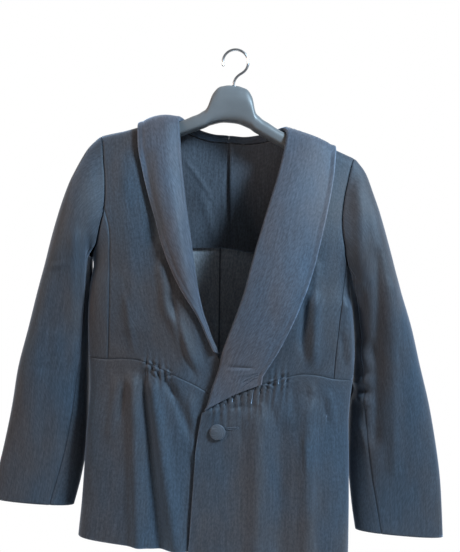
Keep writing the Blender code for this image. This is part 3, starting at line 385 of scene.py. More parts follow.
def gather_height(turn, level):
    """Crests and troughs beside the waist seam, times exp(-(distance to it / reach)^2)."""
    x = body(turn, level)[..., 0]
    height = np.zeros(np.broadcast(turn, level).shape)
    for side, gather in GATHERS.items():
        own_x = x * side
        away = level - waist_level(turn, side)
        places = gather_places(gather)
        lean = own_x - 0.10 * np.maximum(away, 0) * np.sin(61 * own_x)
        step = np.interp(lean, places, np.arange(len(places)))
        crest = 0.5 + 0.5 * np.cos(pi * step)
        wave = 2 * crest**1.5 - 0.85
        wave = wave * (0.75 + 0.25 * np.sin(2.3 * step) + 0.15 * np.sin(5.1 * step))
        first = np.where(away > 0, gather.first, gather.above_first)
        ends = ease(own_x - first, 0, GATHER_END)
        ends = ends * (1 - ease(own_x, gather.last - GATHER_END, gather.last))
        uneven = 1 + 0.35 * np.sin(1.7 * step + 0.4)
        reach = np.where(away > 0, gather.reach * uneven, gather.above_reach)
        most = np.where(away > 0, gather.height, gather.above_height)
        near = np.where(np.abs(turn) <= 1, np.exp(-(away / reach) ** 2), 0)
        height = height + GATHER_RELIEF * most * wave * ends * near
        height = height + pucker_height(own_x, away) * ends * (np.abs(turn) <= 1)
    return height


def pucker_height(x, away):
    """Small puckers drawn up by the stitches: a wandering sine that fades from the seam."""
    pitch = PUCKER_PITCH + PUCKER_WANDER * np.sin(71 * x)
    lean = x - 0.7 * away * np.sin(97 * x + 1.3)
    wave = np.sin(2 * pi * lean / pitch + 2.2 * np.sin(131 * x + 60 * away))
    strength = 0.75 + 0.35 * np.sin(83 * x + 0.6)
    reach = np.where(away > 0, 0.0120, 0.0065) * (0.8 + 0.5 * np.sin(151 * x) ** 2)
    return PUCKER * strength * wave * np.exp(-(away / reach) ** 2)


places = gather_places(GATHERS[1])
print("crests and troughs on the left front:", len(places))

# %% [markdown]
# ## A place on the cloth
# The wearer's right front lies under the left one, so it is pushed back beside the
# midline. All heights are added and move a place of the sheet outward. Every panel, the
# collar, the button and the lining are made through this one function, and so they
# follow the same folds.

# %% Overlap of the fronts, and the sum of all heights
# Front overlap: the wearer's right front lies under the left one
UNDER_DEPTH = 0.008
UNDER_FADE = (0.015, 0.060)


def under_front(turn, level):
    """How far the wearer's right front lies behind the left one."""
    own_side = -body(turn, level)[..., 0]
    near = 1 - ease(own_side, *UNDER_FADE)
    return -UNDER_DEPTH * np.where(np.abs(turn) <= 1, near, 0)


def on_body(turn, level, out=0.0, under=False, gathered=False):
    """Sheet point plus its outward direction times the sum of all heights."""
    turn, level = np.broadcast_arrays(np.asarray(turn, float), np.asarray(level, float))
    lift = fold_height(turn, level) + wander(turn, level) + out
    if gathered:
        lift = lift + gather_height(turn, level)
    if under:
        lift = lift + under_front(turn, level)
    return body(turn, level) + body_normal(turn, level) * lift[..., None]


print("a place on the left front:", hung(on_body(0.5, 0.3)).round(4))

# %% [markdown]
# ## Where the seams run
# The armhole, the princess seams and the side-back seams bound the bodice's panels. They
# are read from tables, so a seam is one curve for both of the panels that meet there.

# %% Tables of the armhole and the seams
# Armhole from the shoulder tip to the underarm, the same at the back
Hole = namedtuple("Hole", "x level")
ARMHOLE = [
    Hole(0.1905, 0.000),
    Hole(0.1840, 0.030),
    Hole(0.1800, 0.055),
    Hole(0.1757, 0.082),
    Hole(0.1736, 0.107),
    Hole(0.1740, 0.129),
    Hole(0.1773, 0.151),
    Hole(0.1820, 0.183),
    Hole(0.1872, 0.198),
    Hole(0.1914, 0.2085),
    Hole(0.2000, 0.213),
]

# Seams that run down the bodice, x at each level, on the wearer's right and left
Seam = namedtuple("Seam", "level x")
PRINCESS_RIGHT = [
    Seam(0.129, 0.1740),
    Seam(0.160, 0.1665),
    Seam(0.220, 0.1637),
    Seam(0.288, 0.1635),
    Seam(0.400, 0.1650),
]
PRINCESS_LEFT = [
    Seam(0.183, 0.1820),
    Seam(0.226, 0.1790),
    Seam(0.270, 0.1743),
    Seam(0.311, 0.1700),
    Seam(0.349, 0.1663),
    Seam(0.400, 0.1650),
]
SIDE_BACK_RIGHT = [
    Seam(0.129, 0.1740),
    Seam(0.170, 0.1660),
    Seam(0.250, 0.1600),
    Seam(0.400, 0.1580),
]
SIDE_BACK_LEFT = [
    Seam(0.183, 0.1820),
    Seam(0.215, 0.1740),
    Seam(0.270, 0.1640),
    Seam(0.400, 0.1580),
]
print("depth of the armhole:", round(ARMHOLE[-1].level * 1000), "mm")


# %% Reading the armhole and the seams
def hole_turn(level):
    """Turn of the armhole's front edge at a level."""
    levels = column(ARMHOLE, "level")
    turns = turn_at(column(ARMHOLE, "x"), levels)
    return smooth_curve(level, levels, turns)


def hole_level(turn):
    """Level of the armhole's lower edge at a turn, the same in front and behind."""
    levels = column(ARMHOLE, "level")[3:]
    turns = turn_at(column(ARMHOLE, "x")[3:], levels)
    levels = np.concatenate([levels, levels[-2:-1]])
    turns = np.concatenate([turns, 2 - turns[-2:-1]])
    near = 1 - np.abs(1 - np.abs(turn))
    return smooth_curve(near, turns, levels)


def seam_turn(level, rows, side, back=False, inset=0.0):
    """Turn of a seam that runs down the bodice, moved towards the side by inset."""
    x = smooth(level, rows, "level", "x") + inset
    return side * turn_at(x, level, back)


def princess(level, side, inset):
    rows = PRINCESS_LEFT if side > 0 else PRINCESS_RIGHT
    return seam_turn(level, rows, side, inset=inset)


def join_level(side):
    """Level where the princess and back seams meet the armhole."""
    return (PRINCESS_LEFT if side > 0 else PRINCESS_RIGHT)[0].level


def side_back(level, side, inset):
    rows = SIDE_BACK_LEFT if side > 0 else SIDE_BACK_RIGHT
    return seam_turn(level, rows, side, back=True, inset=inset)


print("turn of the left princess seam, 30 cm down:", princess(0.3, 1, 0.0).round(3))

# %% [markdown]
# ## Where the collar rolls
# The fronts end at the line where the collar rolls over, and below it at their free
# edges. Each station of the collar says where its rolled edge and its outer edge lie,
# from the centre back over the shoulder to the front.

# %% Stations of the collar
# Collar: a rolled edge with a short leg inside and the wide leaf outside
ROLL_RADIUS = 0.0030
LEG_LENGTH = 0.0090
EDGE_CLEAR = 0.0040
LEAF_REST = 0.0029

# Collar from the centre back over the shoulder to the front: rolled edge and free
# edge of the leaf, x away from the midline, level negative on the back
Station = namedtuple("Station", "roll_x roll_level edge_x edge_level")
COLLAR_LEFT = [
    Station(0.0002, -0.0460, 0.0002, -0.111),
    Station(0.0220, -0.0435, 0.0420, -0.109),
    Station(0.0430, -0.0345, 0.0820, -0.100),
    Station(0.0620, -0.0225, 0.1160, -0.082),
    Station(0.0755, -0.0100, 0.1410, -0.055),
    Station(0.0835, 0.0030, 0.1540, -0.022),
    Station(0.0858, 0.0200, 0.1585, 0.012),
    Station(0.0845, 0.0400, 0.1590, 0.042),
    Station(0.0815, 0.0630, 0.1570, 0.067),
    Station(0.0760, 0.0940, 0.1525, 0.098),
    Station(0.0695, 0.1220, 0.1480, 0.126),
    Station(0.0625, 0.1500, 0.1430, 0.155),
    Station(0.0550, 0.1790, 0.1385, 0.180),
    Station(0.0475, 0.2080, 0.1340, 0.204),
    Station(0.0395, 0.2400, 0.1255, 0.238),
    Station(0.0320, 0.2670, 0.1160, 0.266),
    Station(0.0235, 0.2920, 0.1065, 0.291),
    Station(0.0150, 0.3150, 0.0960, 0.315),
    Station(0.0075, 0.3360, 0.0850, 0.338),
    Station(0.0020, 0.3540, 0.0745, 0.357),
    Station(-0.0010, 0.3720, 0.0670, 0.370),
    Station(-0.0070, 0.3930, 0.0625, 0.378),
    Station(-0.0140, 0.4130, 0.0605, 0.382),
    Station(-0.0205, 0.4300, 0.0595, 0.385),
]
COLLAR_RIGHT = [
    Station(0.0002, -0.0460, 0.0002, -0.111),
    Station(0.0220, -0.0435, 0.0380, -0.109),
    Station(0.0430, -0.0345, 0.0720, -0.100),
    Station(0.0600, -0.0225, 0.0980, -0.083),
    Station(0.0705, -0.0100, 0.1180, -0.058),
    Station(0.0760, 0.0030, 0.1290, -0.028),
    Station(0.0765, 0.0160, 0.1335, 0.004),
    Station(0.0735, 0.0350, 0.1325, 0.028),
    Station(0.0695, 0.0600, 0.1280, 0.055),
    Station(0.0640, 0.0950, 0.1190, 0.089),
    Station(0.0580, 0.1300, 0.1085, 0.127),
    Station(0.0520, 0.1650, 0.0970, 0.164),
    Station(0.0465, 0.1950, 0.0880, 0.195),
    Station(0.0415, 0.2250, 0.0770, 0.226),
    Station(0.0365, 0.2540, 0.0630, 0.256),
    Station(0.0320, 0.2770, 0.0500, 0.278),
    Station(0.0265, 0.2980, 0.0370, 0.297),
    Station(0.0195, 0.3170, 0.0285, 0.3125),
    Station(0.0140, 0.3320, 0.0220, 0.3270),
    Station(0.0070, 0.3466, 0.0145, 0.3425),
    Station(0.0035, 0.3545, 0.0105, 0.3510),
]
print("collar stations:", len(COLLAR_LEFT), len(COLLAR_RIGHT))

# %% Free edges of the fronts
# Front edges below the collar
Edge = namedtuple("Edge", "level x")
OVER_SKIRT_EDGE = [
    Edge(0.430, -0.0225),
    Edge(0.458, -0.0270),
    Edge(0.490, -0.0305),
    Edge(0.560, -0.0330),
    Edge(0.660, -0.0360),
]
UNDER_EDGE = [
    Edge(0.360, 0.0020),
    Edge(0.375, -0.0060),
    Edge(0.395, -0.0140),
    Edge(0.415, -0.0210),
    Edge(0.440, -0.0265),
    Edge(0.500, -0.0300),
    Edge(0.660, -0.0310),
]


def collar_rows(side):
    return COLLAR_LEFT if side > 0 else COLLAR_RIGHT


def roll_x(level, side):
    """Rolled edge's distance from the midline at a level of the front."""
    rows = [row for row in collar_rows(side) if row.roll_level > 0]
    return smooth(level, rows, "roll_level", "roll_x")


def neck_level(x, side, distance):
    """Level of a line round the back neck, at a distance from the collar's roll."""
    rows = [row for row in collar_rows(side) if row.roll_level < 0.01]
    roll = np.stack([column(rows, "roll_x"), column(rows, "roll_level")], -1)
    edge = np.stack([column(rows, "edge_x"), column(rows, "edge_level")], -1)
    run = edge - roll
    line = roll + run / np.linalg.norm(run, axis=1, keepdims=True) * distance
    curve = smooth_curve(np.abs(x), line[:, 0], -line[:, 1])
    return np.where(np.abs(x) < line[-1, 0], np.maximum(curve, 0), 0)


def front_edge_x(level, side):
    """The front bodice's free edge, x measured towards its own side."""
    rolled = roll_x(level, side) + EDGE_CLEAR
    if side > 0:
        return rolled
    free = smooth(level, UNDER_EDGE, "level", "x")
    part = ease(level, 0.345, 0.375)
    return rolled * (1 - part) + free * part


print("left front's edge, 20 cm down:", round(float(front_edge_x(0.2, 1)), 4))

# %% [markdown]
# ## A panel between four curves
# A panel is known by its two side edges, its top and its bottom. Turn and level depend
# on each other there, because an edge is a turn at each level and the waist seam is a
# level at each turn. Going back and forth between them a few times settles both.

# %% Turns and levels of a panel
PASSES = 14


def panel(first, last, top, bottom, across, down):
    """Turns and levels of a panel between two edges, its top and its bottom."""
    across = across[None, :]
    down = down[:, None]
    level = 0.2 + 0.0 * across * down
    for _ in range(PASSES):
        turn = (1 - across) * first(level) + across * last(level)
        level = (1 - down) * top(turn) + down * bottom(turn)
    return turn, level


ends = [lambda at, value=value: value + 0 * at for value in (0, 1, 0, 0.3)]
even = np.linspace(0, 1, 3)
print("panel between plain edges:", panel(*ends, even, even)[0].shape)

# %% [markdown]
# ## The grid of a panel and its seams
# A panel is a grid: rows go down the cloth and columns across it. Along a sewn edge the
# cloth dips by less than a millimetre, as pressed seams do, so a few rows and columns
# stand closer there. Distances are measured along the cloth, which also gives the map in
# metres that keeps the weave at its real size.

# %% Steps, lengths and the dip along seams
SEAM_DIP = 0.0009
SEAM_SOFT = 0.0016
SEAM_STEPS = (0.0007, 0.0015, 0.0026, 0.0042)
FAR = 0.1


def fine_steps(count, size):
    """Even steps from 0 to 1, with a few more just inside both ends for the seams."""
    near = np.array(SEAM_STEPS) / size
    even = np.linspace(0, 1, count)
    clear = near[-1] * 1.2
    ends = (even < 1e-9) | (even > 1 - 1e-9)
    even = even[ends | ((even > clear) & (even < 1 - clear))]
    return np.unique(np.concatenate([even, near, 1 - near]))


def run_lengths(points, axis):
    """Length along the grid from its first line, in metres."""
    steps = np.linalg.norm(np.diff(points, axis=axis), axis=-1)
    pad = [(0, 0), (0, 0)]
    pad[axis] = (1, 0)
    return np.pad(np.cumsum(steps, axis=axis), pad)


def edge_distance(points, edges):
    """Least distance along the cloth from the named edges, in metres."""
    across = run_lengths(points, 1)
    down = run_lengths(points, 0)
    away = {
        "first": across,
        "last": across[:, -1:] - across,
        "top": down,
        "bottom": down[-1:] - down,
    }
    least = np.full(points.shape[:2], FAR)
    for edge in edges:
        least = np.minimum(least, away[edge])
    return least


def seam_dip(points, edges):
    """-depth times exp(-(distance to the nearest sewn edge / softness)^2)."""
    return -SEAM_DIP * np.exp(-(edge_distance(points, edges) / SEAM_SOFT) ** 2)


print("steps of a 30 cm panel:", len(fine_steps(40, 0.3)))

# %% [markdown]
# ## From points to a cloth shell
# Quads fill the cells of the grid, all turned to the outer side. A Solidify modifier
# gives the shell the wall of real cloth. Every point also keeps its distance from the
# sewn and from the free edges, so that the finish can paint shade along a seam and a
# highlight along a free edge.

# %% Shell of cloth
WALL = 0.0015
BEVEL_ANGLE = radians(50)


def shell(name, points, outward, material, wall=WALL, closed=False, bevel=0.0, **marks):
    """Mesh of a grid with its map, its marks of distance and a wall of cloth.

    The faces turn so that their normals agree with the outward directions in sum.
    """
    rows, columns = points.shape[:2]
    index = np.arange(rows * columns).reshape(rows, columns)
    if closed:
        index = np.concatenate([index, index[:, :1]], axis=1)
    corners = index[:-1, :-1], index[:-1, 1:], index[1:, 1:], index[1:, :-1]
    quads = np.stack(corners, -1).reshape(-1, 4)
    flat = points.reshape(-1, 3)
    corner = flat[quads]
    normal = np.cross(corner[:, 2] - corner[:, 0], corner[:, 3] - corner[:, 1])
    if (normal * outward.reshape(-1, 3)[quads[:, 0]]).sum() < 0:
        quads = quads[:, ::-1]
    mesh = bpy.data.meshes.new(name)
    mesh.vertices.add(len(flat))
    mesh.vertices.foreach_set("co", flat.ravel())
    mesh.loops.add(quads.size)
    mesh.loops.foreach_set("vertex_index", quads.ravel())
    mesh.polygons.add(len(quads))
    mesh.polygons.foreach_set("loop_start", np.arange(0, quads.size, 4))
    mesh.polygons.foreach_set("loop_total", np.full(len(quads), 4))
    mesh.update(calc_edges=True)
    across = run_lengths(points, 1)
    place = np.stack([across - across[:, -1:] / 2, run_lengths(points, 0)], -1).reshape(-1, 2)
    layer = mesh.uv_layers.new(name="cloth")
    layer.data.foreach_set("uv", place[quads.ravel()].ravel())
    for mark in ("sewn", "free"):
        distance = edge_distance(points, marks.get(mark, ()))
        mesh.attributes.new(mark, "FLOAT", "POINT").data.foreach_set("value", distance.ravel())
    mesh.shade_smooth()
    mesh.materials.append(material)
    piece = bpy.data.objects.new(name, mesh)
    bpy.context.scene.collection.objects.link(piece)
    if wall:
        thick = piece.modifiers.new("wall", "SOLIDIFY")
        thick.thickness = wall
        thick.offset = 0
        thick.use_even_offset = False
    if bevel:
        soft = piece.modifiers.new("edge", "BEVEL")
        soft.width = bevel
        soft.segments = 2
        soft.limit_method = "ANGLE"
        soft.angle_limit = BEVEL_ANGLE
    return piece


print("wall of the cloth:", WALL * 1000, "mm")

# %% [markdown]
# ## Each piece on the body
# Each shell rides on the one body and takes over from the solid that it dresses,
# which is hidden.


def sew(piece, nodes):
    """Ride on the one body and stand for the solids, which are hidden."""
    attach(piece, "root")
    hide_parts(*nodes)


# %% [markdown]
# ## The cloth's finish
# The real cloth is a fine dark navy wool with a slight lustre: light catches it pale
# blue, and it turns brownish where it falls away. The colour mixes two dyes by a slow
# noise, thread-wide streaks run down the warp, and a woven bump breaks up the light. A
# sheen lobe gives the pale edge of brushed wool. Painted shade darkens the colour along
# the seams, and a painted highlight lightens it along the free edges.

# %% Helpers for finishes
def link_noise(nodes, links, vector, scale, detail, stretch=(1, 1, 1)):
    """Noise over the map, stretched by three factors along its axes."""
    mapping = nodes.new("ShaderNodeMapping")
    mapping.inputs["Scale"].default_value = stretch
    links.new(vector, mapping.inputs["Vector"])
    noise = nodes.new("ShaderNodeTexNoise")
    noise.inputs["Scale"].default_value = scale
    noise.inputs["Detail"].default_value = detail
    links.new(mapping.outputs["Vector"], noise.inputs["Vector"])
    return noise.outputs["Fac"]


def blend_colours(nodes, links, factor, low, high, start=0.35, end=0.65):
    """Colour that goes from low to high as the factor goes from start to end."""
    ramp = nodes.new("ShaderNodeValToRGB")
    ramp.color_ramp.elements[0].position = start
    ramp.color_ramp.elements[0].color = (*low, 1)
    ramp.color_ramp.elements[1].position = end
    ramp.color_ramp.elements[1].color = (*high, 1)
    links.new(factor, ramp.inputs["Fac"])
    return ramp.outputs["Color"]


def multiplied(nodes, links, one, two):
    """Product of two colours."""
    mixed = nodes.new("ShaderNodeMix")
    mixed.data_type = "RGBA"
    mixed.blend_type = "MULTIPLY"
    mixed.inputs[0].default_value = 1.0
    links.new(one, mixed.inputs[6])
    links.new(two, mixed.inputs[7])
    return mixed.outputs[2]


def near_edge(nodes, links, mark, colour, start, end):
    """Factor that goes from a colour at an edge to 1 away from it, by the piece's own mark."""
    away = nodes.new("ShaderNodeAttribute")
    away.attribute_name = mark
    part = nodes.new("ShaderNodeMapRange")
    part.interpolation_type = "SMOOTHSTEP"
    part.inputs["From Min"].default_value = start
    part.inputs["From Max"].default_value = end
    links.new(away.outputs["Fac"], part.inputs["Value"])
    return blend_colours(nodes, links, part.outputs["Result"], colour, (1, 1, 1), 0, 1)


def spread(nodes, links, factor, low, high):
    """Number that goes from low to high as the factor goes from 0 to 1."""
    span = nodes.new("ShaderNodeMapRange")
    span.inputs["To Min"].default_value = low
    span.inputs["To Max"].default_value = high
    links.new(factor, span.inputs["Value"])
    return span.outputs["Result"]


def relief(nodes, links, height, strength, distance):
    """Bumped normal from a height."""
    raised = nodes.new("ShaderNodeBump")
    raised.inputs["Strength"].default_value = strength
    raised.inputs["Distance"].default_value = distance
    links.new(height, raised.inputs["Height"])
    return raised.outputs["Normal"]


def new_finish(name):
    """Material with its nodes, links and shader."""
    material = bpy.data.materials.new(name)
    material.use_nodes = True
    nodes, links = material.node_tree.nodes, material.node_tree.links
    return material, nodes, links, nodes["Principled BSDF"]


print("finishes before the first:", len(bpy.data.materials))


# %% Woven cloth
def woven_cloth(name, warm, cool, roughness=0.60, sheen=0.34, bump=0.5):
    """Wool cloth: two dyes by slow noise, warp streaks, painted seam shade and edge highlight,
    a fine woven bump and a soft sheen.
    """
    material, nodes, links, shader = new_finish(name)
    shader.inputs["Specular IOR Level"].default_value = 0.24
    shader.inputs["Specular Tint"].default_value = (0.72, 0.86, 1.0, 1)
    shader.inputs["Sheen Weight"].default_value = sheen
    shader.inputs["Sheen Roughness"].default_value = 0.42
    shader.inputs["Sheen Tint"].default_value = (0.62, 0.76, 1.0, 1)
    place = nodes.new("ShaderNodeTexCoord")
    own = nodes.new("ShaderNodeUVMap")
    own.uv_map = "cloth"
    slow = link_noise(nodes, links, place.outputs["Object"], 9, 3, (1.5, 1.0, 0.6))
    streak = link_noise(nodes, links, own.outputs["UV"], 26, 4, (14, 1, 1))
    base = blend_colours(nodes, links, slow, warm, cool)
    dark, light = (0.80, 0.79, 0.79), (1.16, 1.17, 1.19)
    shade = blend_colours(nodes, links, streak, dark, light, 0.3, 0.7)
    speck = link_noise(nodes, links, own.outputs["UV"], 420, 2, (1, 0.5, 1))
    fleck = blend_colours(nodes, links, speck, (0.80, 0.80, 0.80), (1.20, 1.20, 1.20))
    # Painted shade darkens the colour within about a millimetre of the sewn edges, and a
    # painted highlight nearly doubles it along the free edges
    seam = near_edge(nodes, links, "sewn", (0.30, 0.30, 0.32), 0.0004, 0.0016)
    painted_edge_highlight = near_edge(nodes, links, "free", (1.9, 1.95, 2.0), 0.0002, 0.0022)
    dyed = base
    for factor in (shade, fleck, seam, painted_edge_highlight):
        dyed = multiplied(nodes, links, dyed, factor)
    links.new(dyed, shader.inputs["Base Color"])
    rough = spread(nodes, links, streak, roughness - 0.07, roughness + 0.09)
    links.new(rough, shader.inputs["Roughness"])
    weave = link_noise(nodes, links, own.outputs["UV"], 620, 2, (1, 0.55, 1))
    cross = link_noise(nodes, links, own.outputs["UV"], 520, 2, (0.3, 1.6, 1))
    both = nodes.new("ShaderNodeMath")
    both.operation = "ADD"
    links.new(weave, both.inputs[0])
    links.new(cross, both.inputs[1])
    raised = relief(nodes, links, both.outputs["Value"], bump, 0.0003)
    links.new(raised, shader.inputs["Normal"])
    return material


jacket_cloth = woven_cloth("jacket_wool", (0.037, 0.034, 0.036), (0.026, 0.037, 0.052))
# The collar is the jacket's wool in a paler copy: painted light for the light that the rolled
# lapels catch
collar_painted_light_cloth = woven_cloth("collar_wool_painted_light", (0.052, 0.049, 0.056), (0.041, 0.055, 0.077))
# The half lining is the same wool in a paler copy: painted light for the light that reaches
# inside the back
lining_painted_light_cloth = woven_cloth(
    "lining_wool_painted_light", (0.050, 0.050, 0.058), (0.052, 0.060, 0.074), sheen=0.3
)
# The wrong side of the backs is a little paler than the face, and painted far paler still:
# painted light for the light that reaches inside the jacket
inner_wall_painted_light = woven_cloth(
    "inner_wall_wool_painted_light", (0.22, 0.22, 0.235), (0.25, 0.27, 0.30), sheen=0.3
)
button_cloth = woven_cloth(
    "button_wool", (0.040, 0.044, 0.054), (0.050, 0.056, 0.066), bump=0.35
)
print("cloth finishes:", len(bpy.data.materials))

# %% [markdown]
# ## Fronts
# Each front runs from the collar's roll to the armhole and the princess seam, and down
# to the waist seam. The wearer's right front lies under the left one, so it is pushed
# back near the middle.

# %% Front panels
def panel_shell(name, turn, level, edges, under, nodes, material):
    """A panel of the sheet with its sewn edges pressed in; a back's inner wall shows the wrong
    side, a little paler, painted far paler still as light inside the jacket.
    """
    plain = hung(on_body(turn, level, 0.0, under, True))
    dip = seam_dip(plain, edges)
    points = hung(on_body(turn, level, dip, under, True))
    open_edges = [edge for edge in ("first", "last", "top", "bottom") if edge not in edges]
    piece = shell(name, points, body_normal(turn, level), material, sewn=edges, free=open_edges)
    # The backs' inner wall takes the wrong side's finish, with its painted light
    if "back" in name:
        piece.data.materials.append(inner_wall_painted_light)
        piece.modifiers["wall"].material_offset = 1
    sew(piece, nodes)
    return piece


def front_bodice(side):
    """Turns and levels between the roll line and the armhole with its princess seam."""
    def free_edge(level):
        return side * turn_at(front_edge_x(level, side), level)

    def side_edge(level):
        hole = side * hole_turn(level)
        seam = princess(level, side, 0.0)
        return np.where(level < join_level(side), hole, seam)

    def top(turn):
        return 0 * turn

    def bottom(turn):
        return waist_level(turn, side)

    across = fine_steps(110, 0.15)
    down = fine_steps(140, 0.38)
    down = np.unique(np.concatenate([down, np.linspace(0, 0.08, 14)]))
    return panel(free_edge, side_edge, top, bottom, across, down)


for side, word in ((1, "left"), (-1, "right")):
    turn, level = front_bodice(side)
    node = "front_bodice_" + word
    panel_shell("front_" + word, turn, level, ("last", "top", "bottom"), side < 0,
                [node], jacket_cloth)

# %% [markdown]
# ## Side and back panels
# The side panels close the waist between the princess seam and the back. The back has a
# seam down its middle, and its neck edge follows the collar.

# %% Side and back panels
def side_bodice(side):
    """Levels even from the underarm curve to the waist; turns between the two seams."""
    across = fine_steps(44, 0.09)[None, :]
    down = fine_steps(90, 0.22)[:, None]
    level = 0.3 + 0.0 * across * down
    for _ in range(PASSES):
        turn = (1 - across) * princess(level, side, 0.0) + across * side_back(level, side, 0.0)
        top = hole_level(turn)
        level = top + (waist_level(turn, side) - top) * down
    return turn, level


def centre_back(level, side):
    """Turn of the centre back seam, counted on past the midline where it leans over."""
    turn = 2 - turn_at(abs(CENTRE_BACK_X), level)
    return np.where(CENTRE_BACK_X * side < 0, 4 - turn, turn) * side


def back_bodice(side):
    """Turns and levels between the centre back and the armhole with its back seam."""
    def centre(level):
        return centre_back(level, side)

    def side_edge(level):
        hole = 2 - hole_turn(level)
        seam = side * side_back(level, side, 0.0)
        return side * np.where(level < join_level(side), hole, seam)

    def top(turn):
        x = body(turn, 0.03 + 0 * turn)[..., 0]
        return neck_level(x, side, EDGE_CLEAR)

    def bottom(turn):
        return waist_level(turn, side)

    across = fine_steps(84, 0.17)
    down = fine_steps(130, 0.37)
    down = np.unique(np.concatenate([down, np.linspace(0, 0.08, 14)]))
    return panel(centre, side_edge, top, bottom, across, down)


for side, word in ((1, "left"), (-1, "right")):
    turn, level = side_bodice(side)
    panel_shell("side_" + word, turn, level, ("first", "last", "top", "bottom"), False,
                ["side_bodice_" + word], jacket_cloth)
    turn, level = back_bodice(side)
    panel_shell("back_" + word, turn, level, ("first", "last", "bottom"), False,
                ["back_bodice_" + word], jacket_cloth)

# %% [markdown]
# ## Skirts of the jacket
# Below the waist seam the cloth is gathered into the bodice and falls in soft folds to
# the hem. The cut is wider than the seam it is gathered into.

# %% Skirt panels
def hem(turn):
    return HEM_LEVEL + 0 * turn


def side_seam(level, side):
    return side * SIDE_SEAM_TURN + 0 * level


def front_skirt(side):
    """From the free front edge round to the side seam, gathered along the top."""
    rows = OVER_SKIRT_EDGE if side > 0 else UNDER_EDGE

    def free_edge(level):
        return side * turn_at(smooth(level, rows, "level", "x"), level)

    def side_edge(level):
        return side_seam(level, side)

    def top(turn):
        return waist_level(turn, side)

    across = np.unique(np.concatenate([fine_steps(80, 0.25), np.linspace(0, 0.48, 180)]))
    down = np.unique(np.concatenate([fine_steps(48, 0.25), np.linspace(0, 0.13, 28)]))
    return panel(free_edge, side_edge, top, hem, across, down)


def back_skirt(side):
    """From the side seam to the centre back seam."""
    def side_edge(level):
        return side_seam(level, side)

    def centre(level):
        return centre_back(level, side)

    def top(turn):
        return waist_level(turn, side)

    return panel(side_edge, centre, top, hem, fine_steps(90, 0.2), fine_steps(70, 0.25))


for side, word in ((1, "left"), (-1, "right")):
    turn, level = front_skirt(side)
    panel_shell("skirt_front_" + word, turn, level, ("top", "last"), side < 0,
                ["front_skirt_" + word], jacket_cloth)
    turn, level = back_skirt(side)
    panel_shell("skirt_back_" + word, turn, level, ("top", "first", "last"), False,
                ["back_skirt_" + word], jacket_cloth)

# %% [markdown]
# ## Shawl collar
# The collar is cut in one with the lapel: it rises round the back neck, rolls over and
# falls as one wide leaf without a notch. Its profile is a short leg inside, a round roll
# and the leaf, which arches over the front and comes down at its edge. The profile is
# carried along the roll line, and a few creases lie across the leaf near its end.

# %% Lift and creases of the collar
# Height of the leaf over the panel, along the collar from its start to its end
Lift = namedtuple("Lift", "along middle edge")
LIFT_LEFT = [
    Lift(0.00, 0.0045, 0.0031),
    Lift(0.25, 0.0065, 0.0033),
    Lift(0.60, 0.0080, 0.0034),
    Lift(0.85, 0.0060, 0.0032),
    Lift(1.00, 0.0032, 0.0030),
]
LIFT_RIGHT = [
    Lift(0.00, 0.0045, 0.0031),
    Lift(0.25, 0.0080, 0.0040),
    Lift(0.60, 0.0110, 0.0055),
    Lift(0.80, 0.0065, 0.0042),
    Lift(1.00, 0.0038, 0.0036),
]

# Creases across the leaf: from one place to another, as shares along and out from the roll
Bend = namedtuple("Bend", "side along0 out0 along1 out1 width height")
COLLAR_BENDS = [
    Bend(1, 0.868, 0.02, 0.865, 0.75, 0.0040, -0.0024),
    Bend(1, 0.905, 0.30, 0.885, 0.85, 0.0040, 0.0014),
    Bend(1, 0.880, 0.05, 0.876, 0.80, 0.0060, 0.0010),
    Bend(1, 0.745, 0.55, 0.760, 1.00, 0.0050, -0.0007),
    Bend(1, 0.955, 0.55, 0.900, 0.98, 0.0026, -0.0026),
    Bend(1, 0.975, 0.60, 0.925, 1.00, 0.0022, -0.0022),
    Bend(1, 0.935, 0.50, 0.885, 0.92, 0.0034, -0.0012),
    Bend(-1, 0.700, 0.15, 0.760, 0.70, 0.0080, 0.0008),
]

# Rows along the collar, how many of them lie on the back, and columns of its profile
COLLAR_ROWS = 170
BACK_ROWS = 36
LEG_COLUMNS = 6
ROLL_COLUMNS = 13
LEAF_COLUMNS = 56

# The leaf's edge is turned up a little, with a shallow groove inside it
EDGE_CURL = 0.0019
CURL_WIDTH = 0.0045
EDGE_GROOVE = 0.0004
GROOVE_AT = 0.0080
GROOVE_WIDTH = 0.0024

# Length and width that the shares in COLLAR_BENDS stand for, wall and rounded edge
COLLAR_LONG = 0.62
LEAF_WIDE = 0.07
COLLAR_WALL = 0.0021
COLLAR_BEVEL = 0.0005
print("creases of the collar:", len(COLLAR_BENDS))


